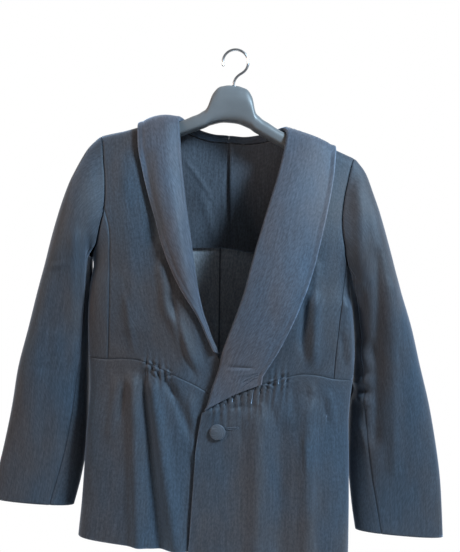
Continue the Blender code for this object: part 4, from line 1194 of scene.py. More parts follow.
# %% Surface of the collar
def collar_surface(side):
    """Profile (leg, half-round roll, arched leaf) carried along the stations of the collar."""
    rows = collar_rows(side)
    lifts = LIFT_LEFT if side > 0 else LIFT_RIGHT
    knots = np.linspace(0, 1, len(rows))
    part = np.linspace(0, 1, COLLAR_ROWS)[:, None]
    place = {name: smooth_curve(part, knots, column(rows, name)) for name in Station._fields}
    run_x = place["edge_x"] - place["roll_x"]
    run_level = place["edge_level"] - place["roll_level"]
    width = np.hypot(run_x, run_level)
    middle = smooth(part, lifts, "along", "middle")
    edge = smooth(part, lifts, "along", "edge")
    leg = np.linspace(1, 0, LEG_COLUMNS + 1)[None, :-1]
    leg_along = ROLL_RADIUS + (LEG_LENGTH - ROLL_RADIUS) * leg + 0 * part
    leg_out = -ROLL_RADIUS + 0 * leg_along
    angle = np.linspace(-pi / 2, pi / 2, ROLL_COLUMNS)[None, :]
    roll_along = ROLL_RADIUS * (1 - np.cos(angle)) + 0 * part
    roll_out = ROLL_RADIUS * np.sin(angle) + 0 * part
    leaf = (1 - (1 - np.linspace(0, 1, LEAF_COLUMNS)) ** 1.7)[None, 1:]
    leaf_along = ROLL_RADIUS + (width - ROLL_RADIUS) * leaf
    arch = np.sin(pi * np.minimum(leaf, 0.999)) ** 0.8
    leaf_out = ROLL_RADIUS + (edge - ROLL_RADIUS) * ease(leaf, 0, 0.3)
    leaf_out = leaf_out + (middle - LEAF_REST) * arch
    to_edge = (1 - leaf) * width
    leaf_out = leaf_out + EDGE_CURL * np.exp(-(to_edge / CURL_WIDTH) ** 2)
    leaf_out = leaf_out - EDGE_GROOVE * np.exp(-((to_edge - GROOVE_AT) / GROOVE_WIDTH) ** 2)
    for bend in COLLAR_BENDS:
        if bend.side == side:
            leaf_out = leaf_out + collar_bend(bend, part, leaf, width)
    along = np.concatenate([leg_along, roll_along, leaf_along], axis=1)
    out = np.concatenate([leg_out, roll_out, leaf_out], axis=1)
    x = place["roll_x"] + run_x / width * along
    level = place["roll_level"] + run_level / width * along
    if side > 0:
        limit = smooth(x, WAIST, "x", "level") - 0.0006
        level = level + (limit - level) * ease(part, 0.93, 1.0)
    return sheet_points(side * x, level, out, side < 0)


def collar_bend(bend, part, leaf, width):
    """Ridge or groove on the leaf: height times exp(-(distance to its line / width)^2)."""
    at = np.stack(np.broadcast_arrays(part * COLLAR_LONG, leaf * width), -1)
    start = np.array([bend.along0 * COLLAR_LONG, bend.out0 * LEAF_WIDE])
    end = np.array([bend.along1 * COLLAR_LONG, bend.out1 * LEAF_WIDE])
    run = end - start
    length = np.linalg.norm(run)
    run = run / length
    far = at - start
    along = far @ run
    across = far[..., 0] * run[1] - far[..., 1] * run[0]
    ends = ease(along, 0, length / 3) * (1 - ease(along, length * 2 / 3, length))
    return bend.height * np.exp(-(across / bend.width) ** 2) * ends


def sheet_points(x, level, out, under):
    """Point of the sheet by its distance from the midline, level negative on the back."""
    size = np.abs(level)
    turn = np.where(level < 0, turn_at(x, size, back=True), turn_at(x, size))
    return on_body(turn, size, out, under)


print("points of the profile:", LEG_COLUMNS + ROLL_COLUMNS + LEAF_COLUMNS - 1)

# %% Both halves of the collar
for side, word in ((1, "left"), (-1, "right")):
    points = hung(collar_surface(side))
    outward = np.zeros_like(points)
    leaf_from = LEG_COLUMNS + ROLL_COLUMNS
    outward[:, leaf_from:, 1] = np.where(np.arange(COLLAR_ROWS) < BACK_ROWS, 1, -1)[:, None]
    piece = shell("collar_leaf_" + word, points, outward, collar_painted_light_cloth, COLLAR_WALL,
                  bevel=COLLAR_BEVEL, free=("last",))
    sew(piece, ["collar_" + word])

# %% [markdown]
# ## Sleeves
# A tailored sleeve has an upper and an under part. Rings run from the armhole to the
# cuff: the first is the armhole itself, and the next ones turn into the rounded sections
# of the hanging sleeve. Creases are placed as they are seen from the front.

# %% Rings and creases of the sleeves
# Sleeve rings from the armhole to the cuff. Outer and inner are the ring's ends
# seen from the front, inner_y how far the inner end lies behind, front and back the
# half depths, and spread is added to the left sleeve's outer end.
Ring = namedtuple("Ring", "outer_x outer_z inner_x inner_z inner_y front back spread")
RINGS = [
    Ring(0.1912, -0.1468, 0.1940, -0.3290, 0.000, 0.040, 0.037, 0.000),
    Ring(0.2095, -0.1680, 0.1950, -0.3330, 0.000, 0.046, 0.043, 0.000),
    Ring(0.2240, -0.2010, 0.1955, -0.3370, 0.001, 0.050, 0.047, 0.000),
    Ring(0.2372, -0.2420, 0.1960, -0.3440, 0.003, 0.052, 0.049, 0.001),
    Ring(0.2492, -0.2860, 0.1968, -0.3560, 0.006, 0.052, 0.049, 0.002),
    Ring(0.2620, -0.3360, 0.1990, -0.3820, 0.010, 0.050, 0.048, 0.003),
    Ring(0.2765, -0.3900, 0.2018, -0.4240, 0.014, 0.046, 0.046, 0.006),
    Ring(0.2890, -0.4450, 0.2015, -0.4700, 0.017, 0.042, 0.043, 0.008),
    Ring(0.3010, -0.5000, 0.1990, -0.5180, 0.019, 0.038, 0.039, 0.011),
    Ring(0.3085, -0.5560, 0.1990, -0.5680, 0.020, 0.034, 0.034, 0.015),
    Ring(0.3180, -0.6100, 0.2010, -0.6180, 0.019, 0.029, 0.029, 0.015),
    Ring(0.3270, -0.6580, 0.2070, -0.6640, 0.014, 0.024, 0.024, 0.012),
    Ring(0.3340, -0.7000, 0.2140, -0.7020, 0.008, 0.020, 0.020, 0.009),
]
SECTION_POWER = 0.85
LOOP_FADE = 2.6
FRONT_SEAM = 0.80
CUFF_FRONT_SEAM = 0.70
BACK_SEAM = 0.62

# Creases as seen from the front, in metres of the hung jacket; x is negative on its right
Wrinkle = namedtuple("Wrinkle", "side x0 z0 x1 z1 width height")
WRINKLES = [
    Wrinkle(1, 0.177, -0.190, 0.181, -0.385, 0.009, 0.0036),
    Wrinkle(1, 0.203, -0.290, 0.207, -0.600, 0.008, -0.0052),
    Wrinkle(1, 0.224, -0.330, 0.234, -0.640, 0.009, 0.0034),
    Wrinkle(1, 0.190, -0.330, 0.196, -0.360, 0.004, 0.0012),
    Wrinkle(1, 0.170, -0.345, 0.190, -0.352, 0.004, 0.0011),
    Wrinkle(1, 0.172, -0.372, 0.192, -0.362, 0.004, -0.0010),
    Wrinkle(1, 0.172, -0.502, 0.208, -0.484, 0.0045, 0.0050),
    Wrinkle(1, 0.174, -0.517, 0.208, -0.530, 0.0045, 0.0048),
    Wrinkle(1, 0.172, -0.509, 0.206, -0.507, 0.0035, -0.0046),
    Wrinkle(1, 0.182, -0.432, 0.196, -0.482, 0.0055, 0.0040),
    Wrinkle(1, 0.194, -0.425, 0.203, -0.470, 0.0040, -0.0034),
    Wrinkle(1, 0.180, -0.545, 0.196, -0.600, 0.0055, 0.0036),
    Wrinkle(1, 0.168, -0.470, 0.180, -0.540, 0.0050, -0.0034),
    Wrinkle(-1, -0.233, -0.257, -0.240, -0.487, 0.009, 0.0034),
    Wrinkle(-1, -0.220, -0.264, -0.229, -0.372, 0.004, 0.0026),
    Wrinkle(-1, -0.212, -0.270, -0.222, -0.372, 0.004, -0.0026),
    Wrinkle(-1, -0.235, -0.318, -0.285, -0.326, 0.004, 0.0014),
    Wrinkle(-1, -0.240, -0.428, -0.300, -0.420, 0.004, 0.0014),
    Wrinkle(-1, -0.245, -0.476, -0.312, -0.470, 0.005, -0.0016),
    Wrinkle(-1, -0.262, -0.300, -0.290, -0.600, 0.012, -0.0022),
]
print("rings:", len(RINGS), "creases:", len(WRINKLES))


# %% Points of a ring
def armhole_loop(side, half):
    """The armhole's front or back half, from the shoulder tip to the underarm."""
    join = join_level(side)
    levels = np.linspace(0, join, 60)
    turns = hole_turn(levels)
    lower = np.linspace(float(hole_turn(join)), 1, 60)[1:]
    turns = np.concatenate([turns, lower])
    levels = np.concatenate([levels, hole_level(lower)])
    if half < 0:
        turns = 2 - turns
    points = body(turns, levels)
    spread = np.linspace(0, 1, len(points))
    points[:, 0] += 0.0010 + 0.0020 * ease(spread, 0.30, 0.70)
    return points


def even_curve(points, shares):
    """Points at even shares of a curve's length."""
    steps = np.linalg.norm(np.diff(points, axis=0), axis=1)
    length = np.concatenate([[0], np.cumsum(steps)])
    length /= length[-1]
    return np.stack([np.interp(shares, length, points[:, axis]) for axis in range(3)], -1)


def ring_half(side, station, half, shares):
    """Front or back half of a plain sleeve ring, from its outer to its inner end."""
    knots = np.arange(len(RINGS))
    at = {
        name: float(smooth_curve(station, knots, column(RINGS, name))) for name in Ring._fields
    }
    outer = np.array([at["outer_x"] + (at["spread"] if side > 0 else 0), 0, at["outer_z"]])
    inner = np.array([at["inner_x"], at["inner_y"], at["inner_z"]])
    reach = (outer - inner) / 2
    angle = np.linspace(0, pi, 121)
    along = np.sign(np.cos(angle)) * np.abs(np.cos(angle)) ** SECTION_POWER
    deep = np.sin(angle) ** SECTION_POWER
    depth = at["front"] if half > 0 else at["back"]
    points = (outer + inner) / 2 + along[:, None] * reach
    points = points + deep[:, None] * np.array([0, -half * depth, 0])
    return even_curve(points, shares)


def sleeve_points(side, station, around):
    """Sleeve points at one ring; around is 0 outside, 1 inside, 2 outside again."""
    points = np.zeros((len(around), 3))
    fade = float(1 - ease(station, 0, LOOP_FADE))
    for half in (1, -1):
        shares = around if half > 0 else 2 - around
        chosen = (around <= 1) if half > 0 else (around > 1)
        if not chosen.any():
            continue
        shares = np.clip(shares[chosen], 0, 1)
        ring = ring_half(side, station, half, shares)
        if fade > 0:
            loop = even_curve(armhole_loop(side, half), shares)
            ring = ring + (loop - ring_half(side, 0.0, half, shares)) * fade
        points[chosen] = ring
    return points


cuff = RINGS[-1]
print("width across the cuff:", round(1000 * (cuff.outer_x - cuff.inner_x)), "mm")


# %% Creases of a sleeve
FAR_LIFT = 0.03
FAR_SHARE = 0.7


def wrinkle_height(points, side, far_half):
    """Ridges seen from the front on the near half, and fainter shifted ones on the far half."""
    height = np.zeros(points.shape[:2])
    for wrinkle in WRINKLES:
        if wrinkle.side != side:
            continue
        run = np.array([wrinkle.x1 - wrinkle.x0, wrinkle.z1 - wrinkle.z0])
        length = np.linalg.norm(run)
        run = run / length
        far_x = points[..., 0] - wrinkle.x0
        far_z = points[..., 2] - wrinkle.z0 - np.where(far_half, FAR_LIFT, 0)
        along = far_x * run[0] + far_z * run[1]
        across = far_x * run[1] - far_z * run[0]
        end = min(0.03, length / 2.2)
        ends = ease(along, 0, end) * (1 - ease(along, length - end, length))
        crest = wrinkle.height * np.exp(-(across / wrinkle.width) ** 2) * ends
        height = height + np.where(far_half, FAR_SHARE, 1.0) * crest
    return height


print("creases of the left sleeve:", sum(wrinkle.side > 0 for wrinkle in WRINKLES))


# %% Upper and under sleeves
def sleeve_surface(side, stations, around, edges):
    """Rings carried from the armhole to the cuff, moved out by wrinkles and the seam dip."""
    ways = np.array([np.mod(around(station), 2) for station in stations])
    rings = np.array([sleeve_points(side, *place) for place in zip(stations, ways)])
    down = np.gradient(rings, axis=0)
    over = np.gradient(rings, axis=1)
    normal = np.cross(over, down)
    normal /= np.linalg.norm(normal, axis=-1, keepdims=True)
    seen = hung(rings * np.array([side, 1, 1]))
    height = wrinkle_height(seen, side, ways > 1) + seam_dip(rings, edges)
    slow = 0.0007 * np.sin(31 * rings[..., 2] + 19 * rings[..., 0] + side)
    points = rings + normal * (height + slow * ease(stations, 0, 1.5)[:, None])[..., None]
    points[..., 0] *= side
    normal[..., 0] *= side
    return hung(points), normal


def make_sleeve(side, upper):
    """Grid of one part of the sleeve between the front and the back seam."""
    last = len(RINGS) - 1
    down = np.concatenate([np.linspace(0, 1, 120) ** 1.1, [0.0008, 0.0018]])
    stations = last * np.unique(down)
    share = np.unique(np.concatenate([fine_steps(90 if upper else 44, 0.2)]))

    def around(station):
        front = FRONT_SEAM + (CUFF_FRONT_SEAM - FRONT_SEAM) * ease(station, 4, 12)
        if upper:
            return -BACK_SEAM + (front + BACK_SEAM) * share
        return front + (2 - BACK_SEAM - front) * share

    return sleeve_surface(side, stations, around, ("first", "last", "top"))


for side, word in ((1, "left"), (-1, "right")):
    for upper in (True, False):
        kind = "upper" if upper else "under"
        points, outward = make_sleeve(side, upper)
        piece = shell(f"{kind}_sleeve_{word}", points, outward, jacket_cloth,
                      sewn=("first", "last", "top"))
        sew(piece, [f"sleeve_{kind}_{word}"])

# %% [markdown]
# ## Half lining
# Inside the back hangs a half lining of the same cloth with a knife pleat at its middle,
# which gives ease across the shoulders. Its hem is free. The line across it goes along
# the back, folds under for the pleat and goes on to the other side.

# %% Half lining
LINING_HEM_LEVEL = 0.207
LINING_TOP_LEVEL = 0.028
LINING_HALF = 0.150
LINING_START = 0.0100
PLEAT_TOP_X = 0.002
PLEAT_HEM_X = 0.0135
PLEAT_DEPTH = 0.026
LINING_WALL = 0.0009


def lining_line(part_down):
    """Across the half lining at one part of its length: x, and distance from the back."""
    fold_x = PLEAT_TOP_X + (PLEAT_HEM_X - PLEAT_TOP_X) * part_down
    deep_x = fold_x + PLEAT_DEPTH
    spacing = 0.0022 + 0.0008 * part_down
    rest = 0.0019 + 0.0026 * ease(part_down, 0, 0.4)
    x = [-LINING_HALF, -0.115, -0.080, -0.045, -0.015, fold_x, deep_x - 0.004]
    out = [-rest] * 7
    x += [deep_x, deep_x - 0.004, fold_x + 0.004, fold_x, fold_x + 0.004]
    out += [-rest - spacing * step for step in (0.5, 1.0, 1.0, 1.5, 2.0)]
    for share in (0.18, 0.4, 0.62, 0.82, 1.0):
        x.append(fold_x + 0.004 + (LINING_HALF - fold_x - 0.004) * share)
        out.append(-rest - spacing * 2.0 * (1 - ease(share, 0.1, 0.8)))
    return np.array(x), np.array(out)


def lining_profile(down, count=150):
    """The folded line at one part of the length, rounded by averaging neighbours."""
    x, out = lining_line(down)
    length = np.concatenate([[0], np.cumsum(np.hypot(np.diff(x), np.diff(out * 3)))])
    at = np.interp(np.linspace(0, 1, 60), np.linspace(0, 1, len(x)), length / length[-1])
    at = np.unique(np.concatenate([at, np.linspace(0, 1, count)]))
    fine_x = np.interp(at * length[-1], length, x)
    fine_out = np.interp(at * length[-1], length, out)
    for _ in range(2):
        fine_x[1:-1] = (fine_x[:-2] + 2 * fine_x[1:-1] + fine_x[2:]) / 4
        fine_out[1:-1] = (fine_out[:-2] + 2 * fine_out[1:-1] + fine_out[2:]) / 4
    return fine_x, fine_out


def lining_surface():
    """Profiles from the neck facing to the free hem, with two soft slanting creases."""
    down = np.linspace(0, 1, 80)
    lines = [lining_profile(part) for part in down]
    count = min(len(line[0]) for line in lines)
    x = np.array([line[0][:count - 1].tolist() + [line[0][-1]] for line in lines])
    out = np.array([line[1][:count - 1].tolist() + [line[1][-1]] for line in lines])
    top = np.where(x > 0, neck_level(x, 1, LINING_START), neck_level(x, -1, LINING_START))
    top = np.maximum(top, LINING_TOP_LEVEL)
    level = top + (LINING_HEM_LEVEL - top) * down[:, None]
    crease = 0.0010 * np.exp(-((level - 0.085 - 1.4 * (x + 0.056)) / 0.005) ** 2)
    crease = crease * ease(x, -0.075, -0.050) * (1 - ease(x, -0.030, -0.012))
    second = 0.0012 * np.exp(-((x + 0.036 - 0.37 * (level - 0.13)) / 0.007) ** 2)
    second = second * ease(level, 0.10, 0.14) * (1 - ease(level, 0.195, 0.205))
    out = out - crease - second + 0.0005 * np.sin(60 * x) * ease(level, 0.08, 0.2)
    return hung(sheet_points(x, -level, out, False))


points = lining_surface()
inward = np.zeros_like(points)
inward[..., 1] = -1
piece = shell("half_lining", points, inward, lining_painted_light_cloth, LINING_WALL, free=("bottom",))
sew(piece, ["back_lining"])

# %% [markdown]
# ## Button and buttonhole
# The button is a mould covered with the jacket's cloth, so it has a soft dome and a
# rolled rim. It is a profile turned about its axis. The buttonhole beside it is a slit
# with a close whipped edge, a thread carried round a long narrow loop.

# %% Closed, turned and placed skins
def solid(name, rings, outward, material):
    """Closed skin through rings, filled or merged at both ends."""
    piece = shell(name, rings, outward, material, wall=0, closed=True)
    close_poles(piece)
    return piece


def turned(profile, count):
    """Profile (radius, height) turned about the Z axis, as rings."""
    angle = np.linspace(0, 2 * pi, count, endpoint=False)
    radius = profile[:, :1]
    x = radius * np.cos(angle)
    y = radius * np.sin(angle)
    z = profile[:, 1:] + 0 * x
    return np.stack([x, y, z], -1)


def close_poles(piece):
    """Merge the points of each pole, so that the skin is closed, and keep it smooth."""
    skin = bmesh.new()
    skin.from_mesh(piece.data)
    bmesh.ops.remove_doubles(skin, verts=skin.verts[:], dist=1e-6)
    bmesh.ops.holes_fill(skin, edges=[edge for edge in skin.edges if len(edge.link_faces) == 1])
    bmesh.ops.recalc_face_normals(skin, faces=skin.faces[:])
    if skin.calc_volume(signed=True) < 0:
        bmesh.ops.reverse_faces(skin, faces=skin.faces[:])
    skin.to_mesh(piece.data)
    skin.free()
    piece.data.shade_smooth()


def placed(points, foot, tip):
    """Points turned so that Z runs from the foot to the tip, and moved to the foot."""
    up = (tip - foot) / np.linalg.norm(tip - foot)
    across = np.cross([0.0, 0.0, 1.0], up)
    across /= np.linalg.norm(across)
    other = np.cross(up, across)
    return foot + points[..., :1] * across + points[..., 1:2] * other + points[..., 2:] * up


print("a disc of one ring:", turned(np.array([[0.01, 0.0]]), 8).shape)

# %% Covered button
# Half of the solids' cloth and a small gap lie between the sheet and the button
CLOTH = 0.0018
TOUCH = 0.0003

# Button on the skirt's overlap: its dome on a straight wall, and the rolled rim
BUTTON_RADIUS = 0.01135
BUTTON_HEIGHT = 0.0052
BUTTON_X = -0.0007
BUTTON_LEVEL = 0.4656
BUTTON_WALL = 0.40
BUTTON_FOOT = 0.0003
RIM_HEIGHT = 0.00035
RIM_AT = 0.0098
RIM_WIDTH = 0.0007

turn = turn_at(BUTTON_X, BUTTON_LEVEL)
foot = hung(on_body(turn, BUTTON_LEVEL, CLOTH / 2 + TOUCH))
tip = hung(on_body(turn, BUTTON_LEVEL, CLOTH / 2 + TOUCH + 0.01))
part = np.linspace(0, 1, 40)
radius = BUTTON_RADIUS * np.sin(np.minimum(part * 1.25, 1) * pi / 2)
round_part = np.sqrt(np.maximum(1 - (radius / BUTTON_RADIUS) ** 2, 0))
dome = BUTTON_HEIGHT * (BUTTON_WALL + (1 - BUTTON_WALL) * round_part)
under = ease(part, 0.8, 1.0)
dome = dome * (1 - under) + BUTTON_FOOT * under
radius = radius * (1 - 0.10 * under**2)
rim = RIM_HEIGHT * np.exp(-((radius - RIM_AT) / RIM_WIDTH) ** 2) * (1 - under)
profile = np.stack([radius, dome + rim], -1)
profile = np.concatenate([profile, [[0.0, BUTTON_FOOT]]])
rings = placed(turned(profile, 64), foot, tip)
covered = solid("covered_button", rings, rings - foot, button_cloth)
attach(covered, "root")
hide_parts("button")
print("button:", round(2000 * BUTTON_RADIUS, 1), "mm across")


# %% Buttonhole
def carried(path, profile_radius, count, normals):
    """Round tube along a closed path: ring points are path plus radius times two directions."""
    ahead = np.roll(path, -1, axis=0) - np.roll(path, 1, axis=0)
    ahead /= np.linalg.norm(ahead, axis=1, keepdims=True)
    side = np.cross(ahead, normals)
    side /= np.linalg.norm(side, axis=1, keepdims=True)
    up = np.cross(side, ahead)
    angle = np.linspace(0, 2 * pi, count, endpoint=False)
    round_side = side[:, None] * np.cos(angle)[None, :, None]
    round_up = up[:, None] * np.sin(angle)[None, :, None]
    return path[:, None] + (round_side + 0.7 * round_up) * profile_radius[:, None, None]


HOLE_X = (0.0120, 0.0285)
HOLE_LEVEL = (0.4600, 0.4572)
HOLE_HALF = 0.0011
STITCHES = 46
POINTS = STITCHES * 8
THREAD = 0.00085
THREAD_SWELL = 0.16
THREAD_RAISED = 0.0004
share = (np.arange(POINTS) + 0.5) / POINTS
round_x, round_y = np.cos(2 * pi * share), np.sin(2 * pi * share)
along = 0.5 - 0.5 * np.sign(round_x) * np.abs(round_x) ** 0.5
wide = HOLE_HALF * np.sign(round_y) * np.abs(round_y) ** 0.5
hole_x = HOLE_X[0] + (HOLE_X[1] - HOLE_X[0]) * along
hole_down = HOLE_LEVEL[0] + (HOLE_LEVEL[1] - HOLE_LEVEL[0]) * along + wide
hole_turns = turn_at(hole_x, hole_down)
path = hung(on_body(hole_turns, hole_down, WALL / 2 + THREAD_RAISED, False, True))
normals = body_normal(hole_turns, hole_down)
thick = THREAD * (1 + THREAD_SWELL * np.cos(2 * pi * share * STITCHES))
rings = carried(path, thick, 10, normals)
rings = np.concatenate([rings, rings[:1]])
middle = np.concatenate([path, path[:1]])[:, None]
buttonhole = solid("buttonhole_edge", rings, rings - middle, button_cloth)
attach(buttonhole, "root")
print("buttonhole stitches:", STITCHES)

# %% [markdown]
# ## Hanger and hook
# The hanger is moulded in dark grey plastic: a domed neck, a curved bridge and two broad
# arms that carry the shoulders. Its sections are rounded on top. The hook is bent steel
# wire, a circle carried along its path.

# %% Places along the hanger
HOOK_WIRE_RADIUS = 0.0020
HOOK_RADIUS = 0.0190
HANGER_TOP_OFF = 0.0013

# Hanger: top, underside and half thickness across its width
Arm = namedtuple("Arm", "x top bottom thick")
ARMS = [
    Arm(0.000, -0.0525, -0.1080, 0.0150),
    Arm(0.013, -0.0540, -0.1088, 0.0150),
    Arm(0.025, -0.0605, -0.1125, 0.0150),
    Arm(0.0315, -0.0725, -0.1150, 0.0149),
    Arm(0.0350, -0.0855, -0.1172, 0.0148),
    Arm(0.0440, -0.0965, -0.1215, 0.0146),
    Arm(0.0580, -0.1045, -0.1280, 0.0144),
    Arm(0.0740, -0.1130, -0.1352, 0.0142),
    Arm(0.0920, -0.1188, -0.1430, 0.0142),
]
ARM_START_X = 0.106
ARM_END_X = 0.170
ARM_DEPTH = 0.030
ARM_DEPTH_AT_END = 0.020
ARM_CLEAR = 0.0035


def arm_stations():
    """Places across one arm, from the neck to the rounded end under the shoulder."""
    stations = list(ARMS)
    for x in np.linspace(ARM_START_X, ARM_END_X, 5):
        ridge = float(body(turn_at(x, 0.0), 0.0)[2])
        share = (x - ARM_START_X) / (ARM_END_X - ARM_START_X)
        depth = ARM_DEPTH + (ARM_DEPTH_AT_END - ARM_DEPTH) * share
        side_y = abs(float(body(turn_at(x, 0.026), 0.026)[1]))
        stations.append(Arm(x, ridge - HANGER_TOP_OFF, ridge - depth, side_y - ARM_CLEAR))
    return stations


print("places along an arm:", len(arm_stations()))


# %% Hanger
def hanger_surface():
    """Rounded sections carried from one end to the other through the table of the arm."""
    arms = arm_stations()
    at = np.array([arm.x for arm in arms])
    x = np.concatenate([np.linspace(-ARM_END_X, -0.1, 34)[:-1], np.linspace(-0.1, 0.1, 120),
                        np.linspace(0.1, ARM_END_X, 34)[1:]])[:, None]
    mirrored = np.concatenate([-at[:0:-1], at])
    top, bottom, thick = (
        smooth_curve(x, mirrored, np.array([getattr(arm, name) for arm in arms[:0:-1] + arms]))
        for name in ("top", "bottom", "thick")
    )
    angle = np.linspace(0, 2 * pi, 48, endpoint=False)[None, :]
    flat = np.abs(np.sin(angle)) ** 0.8 * np.sign(np.sin(angle))
    rise = np.cos(angle)
    tall = np.sign(rise) * np.abs(rise) ** np.where(rise > 0, 0.9, 0.35)
    half = (top - bottom) / 2
    y = thick * flat
    z = (top + bottom) / 2 + half * tall
    points = np.stack(np.broadcast_arrays(x, y, z), -1)
    return hung(points)


def moulded_plastic(name, colour):
    """Moulded plastic: one colour with faint clouds, a fine grain and a soft gloss."""
    material, nodes, links, shader = new_finish(name)
    place = nodes.new("ShaderNodeTexCoord")
    cloud = link_noise(nodes, links, place.outputs["Object"], 14, 3)
    low = tuple(0.88 * value for value in colour)
    high = tuple(1.10 * value for value in colour)
    links.new(blend_colours(nodes, links, cloud, low, high), shader.inputs["Base Color"])
    scratch = link_noise(nodes, links, place.outputs["Object"], 160, 4, (0.2, 1, 1))
    links.new(spread(nodes, links, scratch, 0.36, 0.56), shader.inputs["Roughness"])
    grain = link_noise(nodes, links, place.outputs["Object"], 900, 2)
    links.new(relief(nodes, links, grain, 0.12, 0.0002), shader.inputs["Normal"])
    return material


hanger_plastic = moulded_plastic("grey_plastic", (0.092, 0.098, 0.104))
points = hanger_surface()
middle = points.mean(axis=1, keepdims=True)
hanger = solid("hanger_moulding", points, points - middle, hanger_plastic)
hanger.data.set_sharp_from_angle(angle=radians(60))
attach(hanger, "root")
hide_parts("hanger_body")
print("hanger:", round(float(np.ptp(points[..., 0])) * 1000), "mm wide")


# %% Hook
def hook_path():
    """Stem, bend and open round of the hook, in the hanger's plane."""
    centre = HOOK_WIRE_RADIUS - HOOK_RADIUS
    start = radians(-55)
    joint = np.array([HOOK_RADIUS * cos(start), centre + HOOK_RADIUS * sin(start)])
    heading = np.array([-sin(start), cos(start)])
    foot = np.array([0.0, ARMS[0].top + TOUCH])
    corners = [foot, foot + (0, 0.010), joint - heading * 0.008, joint]
    points = []
    for part in np.linspace(0, 1, 9)[:-1]:
        rest = 1 - part
        weights = (rest**3, 3 * rest**2 * part, 3 * rest * part**2, part**3)
        points.append(sum(w * c for w, c in zip(weights, corners)))
    for angle in np.linspace(start, radians(205), 16):
        points.append(np.array([HOOK_RADIUS * cos(angle), centre + HOOK_RADIUS * sin(angle)]))
    return [(x, 0.0, z) for x, z in points]


def hook_surface():
    """Circle of the wire's radius carried along the smoothed path, in the hanger's plane."""
    corners = np.array(hook_path())
    length = np.concatenate([[0], np.cumsum(np.linalg.norm(np.diff(corners, axis=0), axis=1))])
    at = np.linspace(0, length[-1], 150)
    line = np.stack([smooth_curve(at, length, corners[:, axis]) for axis in range(3)], -1)
    ahead = np.gradient(line, axis=0)
    ahead /= np.linalg.norm(ahead, axis=1, keepdims=True)
    side = np.array([0.0, 1.0, 0.0]) + 0 * ahead
    up = np.cross(side, ahead)
    angle = np.linspace(0, 2 * pi, 20, endpoint=False)
    across, over = np.cos(angle)[None, :, None], np.sin(angle)[None, :, None]
    rings = side[:, None] * across + up[:, None] * over
    inset = np.minimum(1, np.sqrt(np.minimum((length[-1] - at) / HOOK_WIRE_RADIUS, 1)) + 0.02)
    points = line[:, None] + rings * (HOOK_WIRE_RADIUS * inset)[:, None, None]
    turned_x = points[..., 0] * cos(TILT) + points[..., 2] * sin(TILT)
    turned_z = -points[..., 0] * sin(TILT) + points[..., 2] * cos(TILT)
    return np.stack([turned_x, points[..., 1], turned_z], -1)


def bright_steel(name):
    """Drawn steel wire: fine scratches along it vary the gloss."""
    material, nodes, links, shader = new_finish(name)
    shader.inputs["Metallic"].default_value = 1.0
    place = nodes.new("ShaderNodeTexCoord")
    cloud = link_noise(nodes, links, place.outputs["Object"], 60, 3)
    metal = blend_colours(nodes, links, cloud, (0.46, 0.47, 0.49), (0.60, 0.61, 0.63))
    links.new(metal, shader.inputs["Base Color"])
    scratch = link_noise(nodes, links, place.outputs["Object"], 500, 3, (1, 1, 0.1))
    links.new(spread(nodes, links, scratch, 0.16, 0.34), shader.inputs["Roughness"])
    return material


points = hook_surface()
middle = points.mean(axis=1, keepdims=True)
hook = solid("steel_hook", points, points - middle, bright_steel("hook_wire"))
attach(hook, "root")
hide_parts("hanger_hook")
print("hook wire:", 2000 * HOOK_WIRE_RADIUS, "mm")

# %% [markdown]
# ## Floor, light and camera
# The jacket hangs in a room with a white wall behind it and a dimmer side behind the
# camera, so the world's light grows towards the wall. A cool area light stands at the
# right front as a window would, and a weak warm one at the left turns the shaded cloth
# brownish. The camera stands level, 1.25 m from the hanger, over a pale round floor.

# %% Floor
FLOOR_Z = -0.98
FLOOR_RADIUS = 0.62
FLOOR_SIDES = 96
angle = np.linspace(0, 2 * pi, FLOOR_SIDES, endpoint=False)
ring_x, ring_y = FLOOR_RADIUS * np.cos(angle), FLOOR_RADIUS * np.sin(angle)
ring = np.stack([ring_x, ring_y, FLOOR_Z + 0 * angle], -1)
floor_mesh = bpy.data.meshes.new("floor")
floor_mesh.from_pydata(ring.tolist(), [], [tuple(range(FLOOR_SIDES))])
floor = bpy.data.objects.new("floor", floor_mesh)
bpy.context.scene.collection.objects.link(floor)
pale, _, _, paint = new_finish("pale_floor")
paint.inputs["Base Color"].default_value = (0.93, 0.93, 0.93, 1)
paint.inputs["Roughness"].default_value = 0.9
floor_mesh.materials.append(pale)
print("floor at", FLOOR_Z, "m")

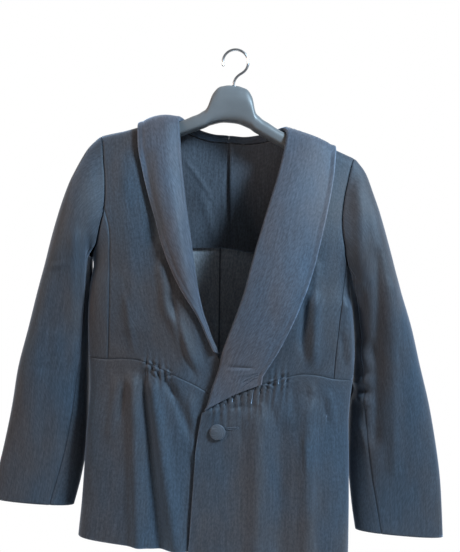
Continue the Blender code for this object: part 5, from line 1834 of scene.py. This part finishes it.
# %% Light
WORLD_DIM = 0.17
world = bpy.data.worlds.new("pale_room")
bpy.context.scene.world = world
world.use_nodes = True
sky, sky_links = world.node_tree.nodes, world.node_tree.links
direction = sky.new("ShaderNodeTexCoord")
parts = sky.new("ShaderNodeSeparateXYZ")
sky_links.new(direction.outputs["Generated"], parts.inputs["Vector"])
strength = sky.new("ShaderNodeMapRange")
strength.inputs["From Min"].default_value = -0.35
strength.inputs["From Max"].default_value = 0.75
strength.inputs["To Min"].default_value = WORLD_DIM
strength.inputs["To Max"].default_value = 1.0
sky_links.new(parts.outputs["Y"], strength.inputs["Value"])
sky_links.new(strength.outputs["Result"], sky["Background"].inputs["Strength"])
sky["Background"].inputs["Color"].default_value = (1.0, 1.0, 1.0, 1)

Lamp = namedtuple("Lamp", "name place size power colour")
LAMPS = [
    Lamp("window", (1.25, -0.95, 0.72), 0.45, 96, (0.60, 0.82, 1.0)),
    Lamp("warm_fill", (-1.5, -0.9, 0.2), 0.6, 20, (1.0, 0.80, 0.66)),
]
TARGET = np.array([-0.01, 0.0, -0.36])


def aim(start, end):
    """Turn about X and Z that points an object's -Z axis from start to end."""
    run = np.asarray(end) - np.asarray(start)
    down = np.arctan2(np.hypot(run[0], run[1]), -run[2])
    return (down, 0.0, np.arctan2(run[1], run[0]) - pi / 2)


for lamp in LAMPS:
    data = bpy.data.lights.new(lamp.name, "AREA")
    data.energy = lamp.power
    data.size = lamp.size
    data.color = lamp.colour
    light = bpy.data.objects.new(lamp.name, data)
    light.location = lamp.place
    light.rotation_euler = aim(lamp.place, TARGET)
    bpy.context.scene.collection.objects.link(light)
bpy.context.scene.view_settings.view_transform = "Standard"
print("lamps:", [lamp.name for lamp in LAMPS])

# %% Camera
MM_PER_PIXEL = 1.5
PIXELS_HIGH = 552
SENSOR = 36
DISTANCE = 1.25
view = bpy.data.cameras.new("photo_view")
view.sensor_width = SENSOR
view.lens = SENSOR * DISTANCE / (PIXELS_HIGH * MM_PER_PIXEL / 1000)
camera = bpy.data.objects.new("photo_view", view)
camera.location = (-0.00975, -DISTANCE, -0.3375)
camera.rotation_euler = (pi / 2, 0, 0)
bpy.context.scene.collection.objects.link(camera)
bpy.context.scene.camera = camera
print("lens:", round(view.lens, 1), "mm")
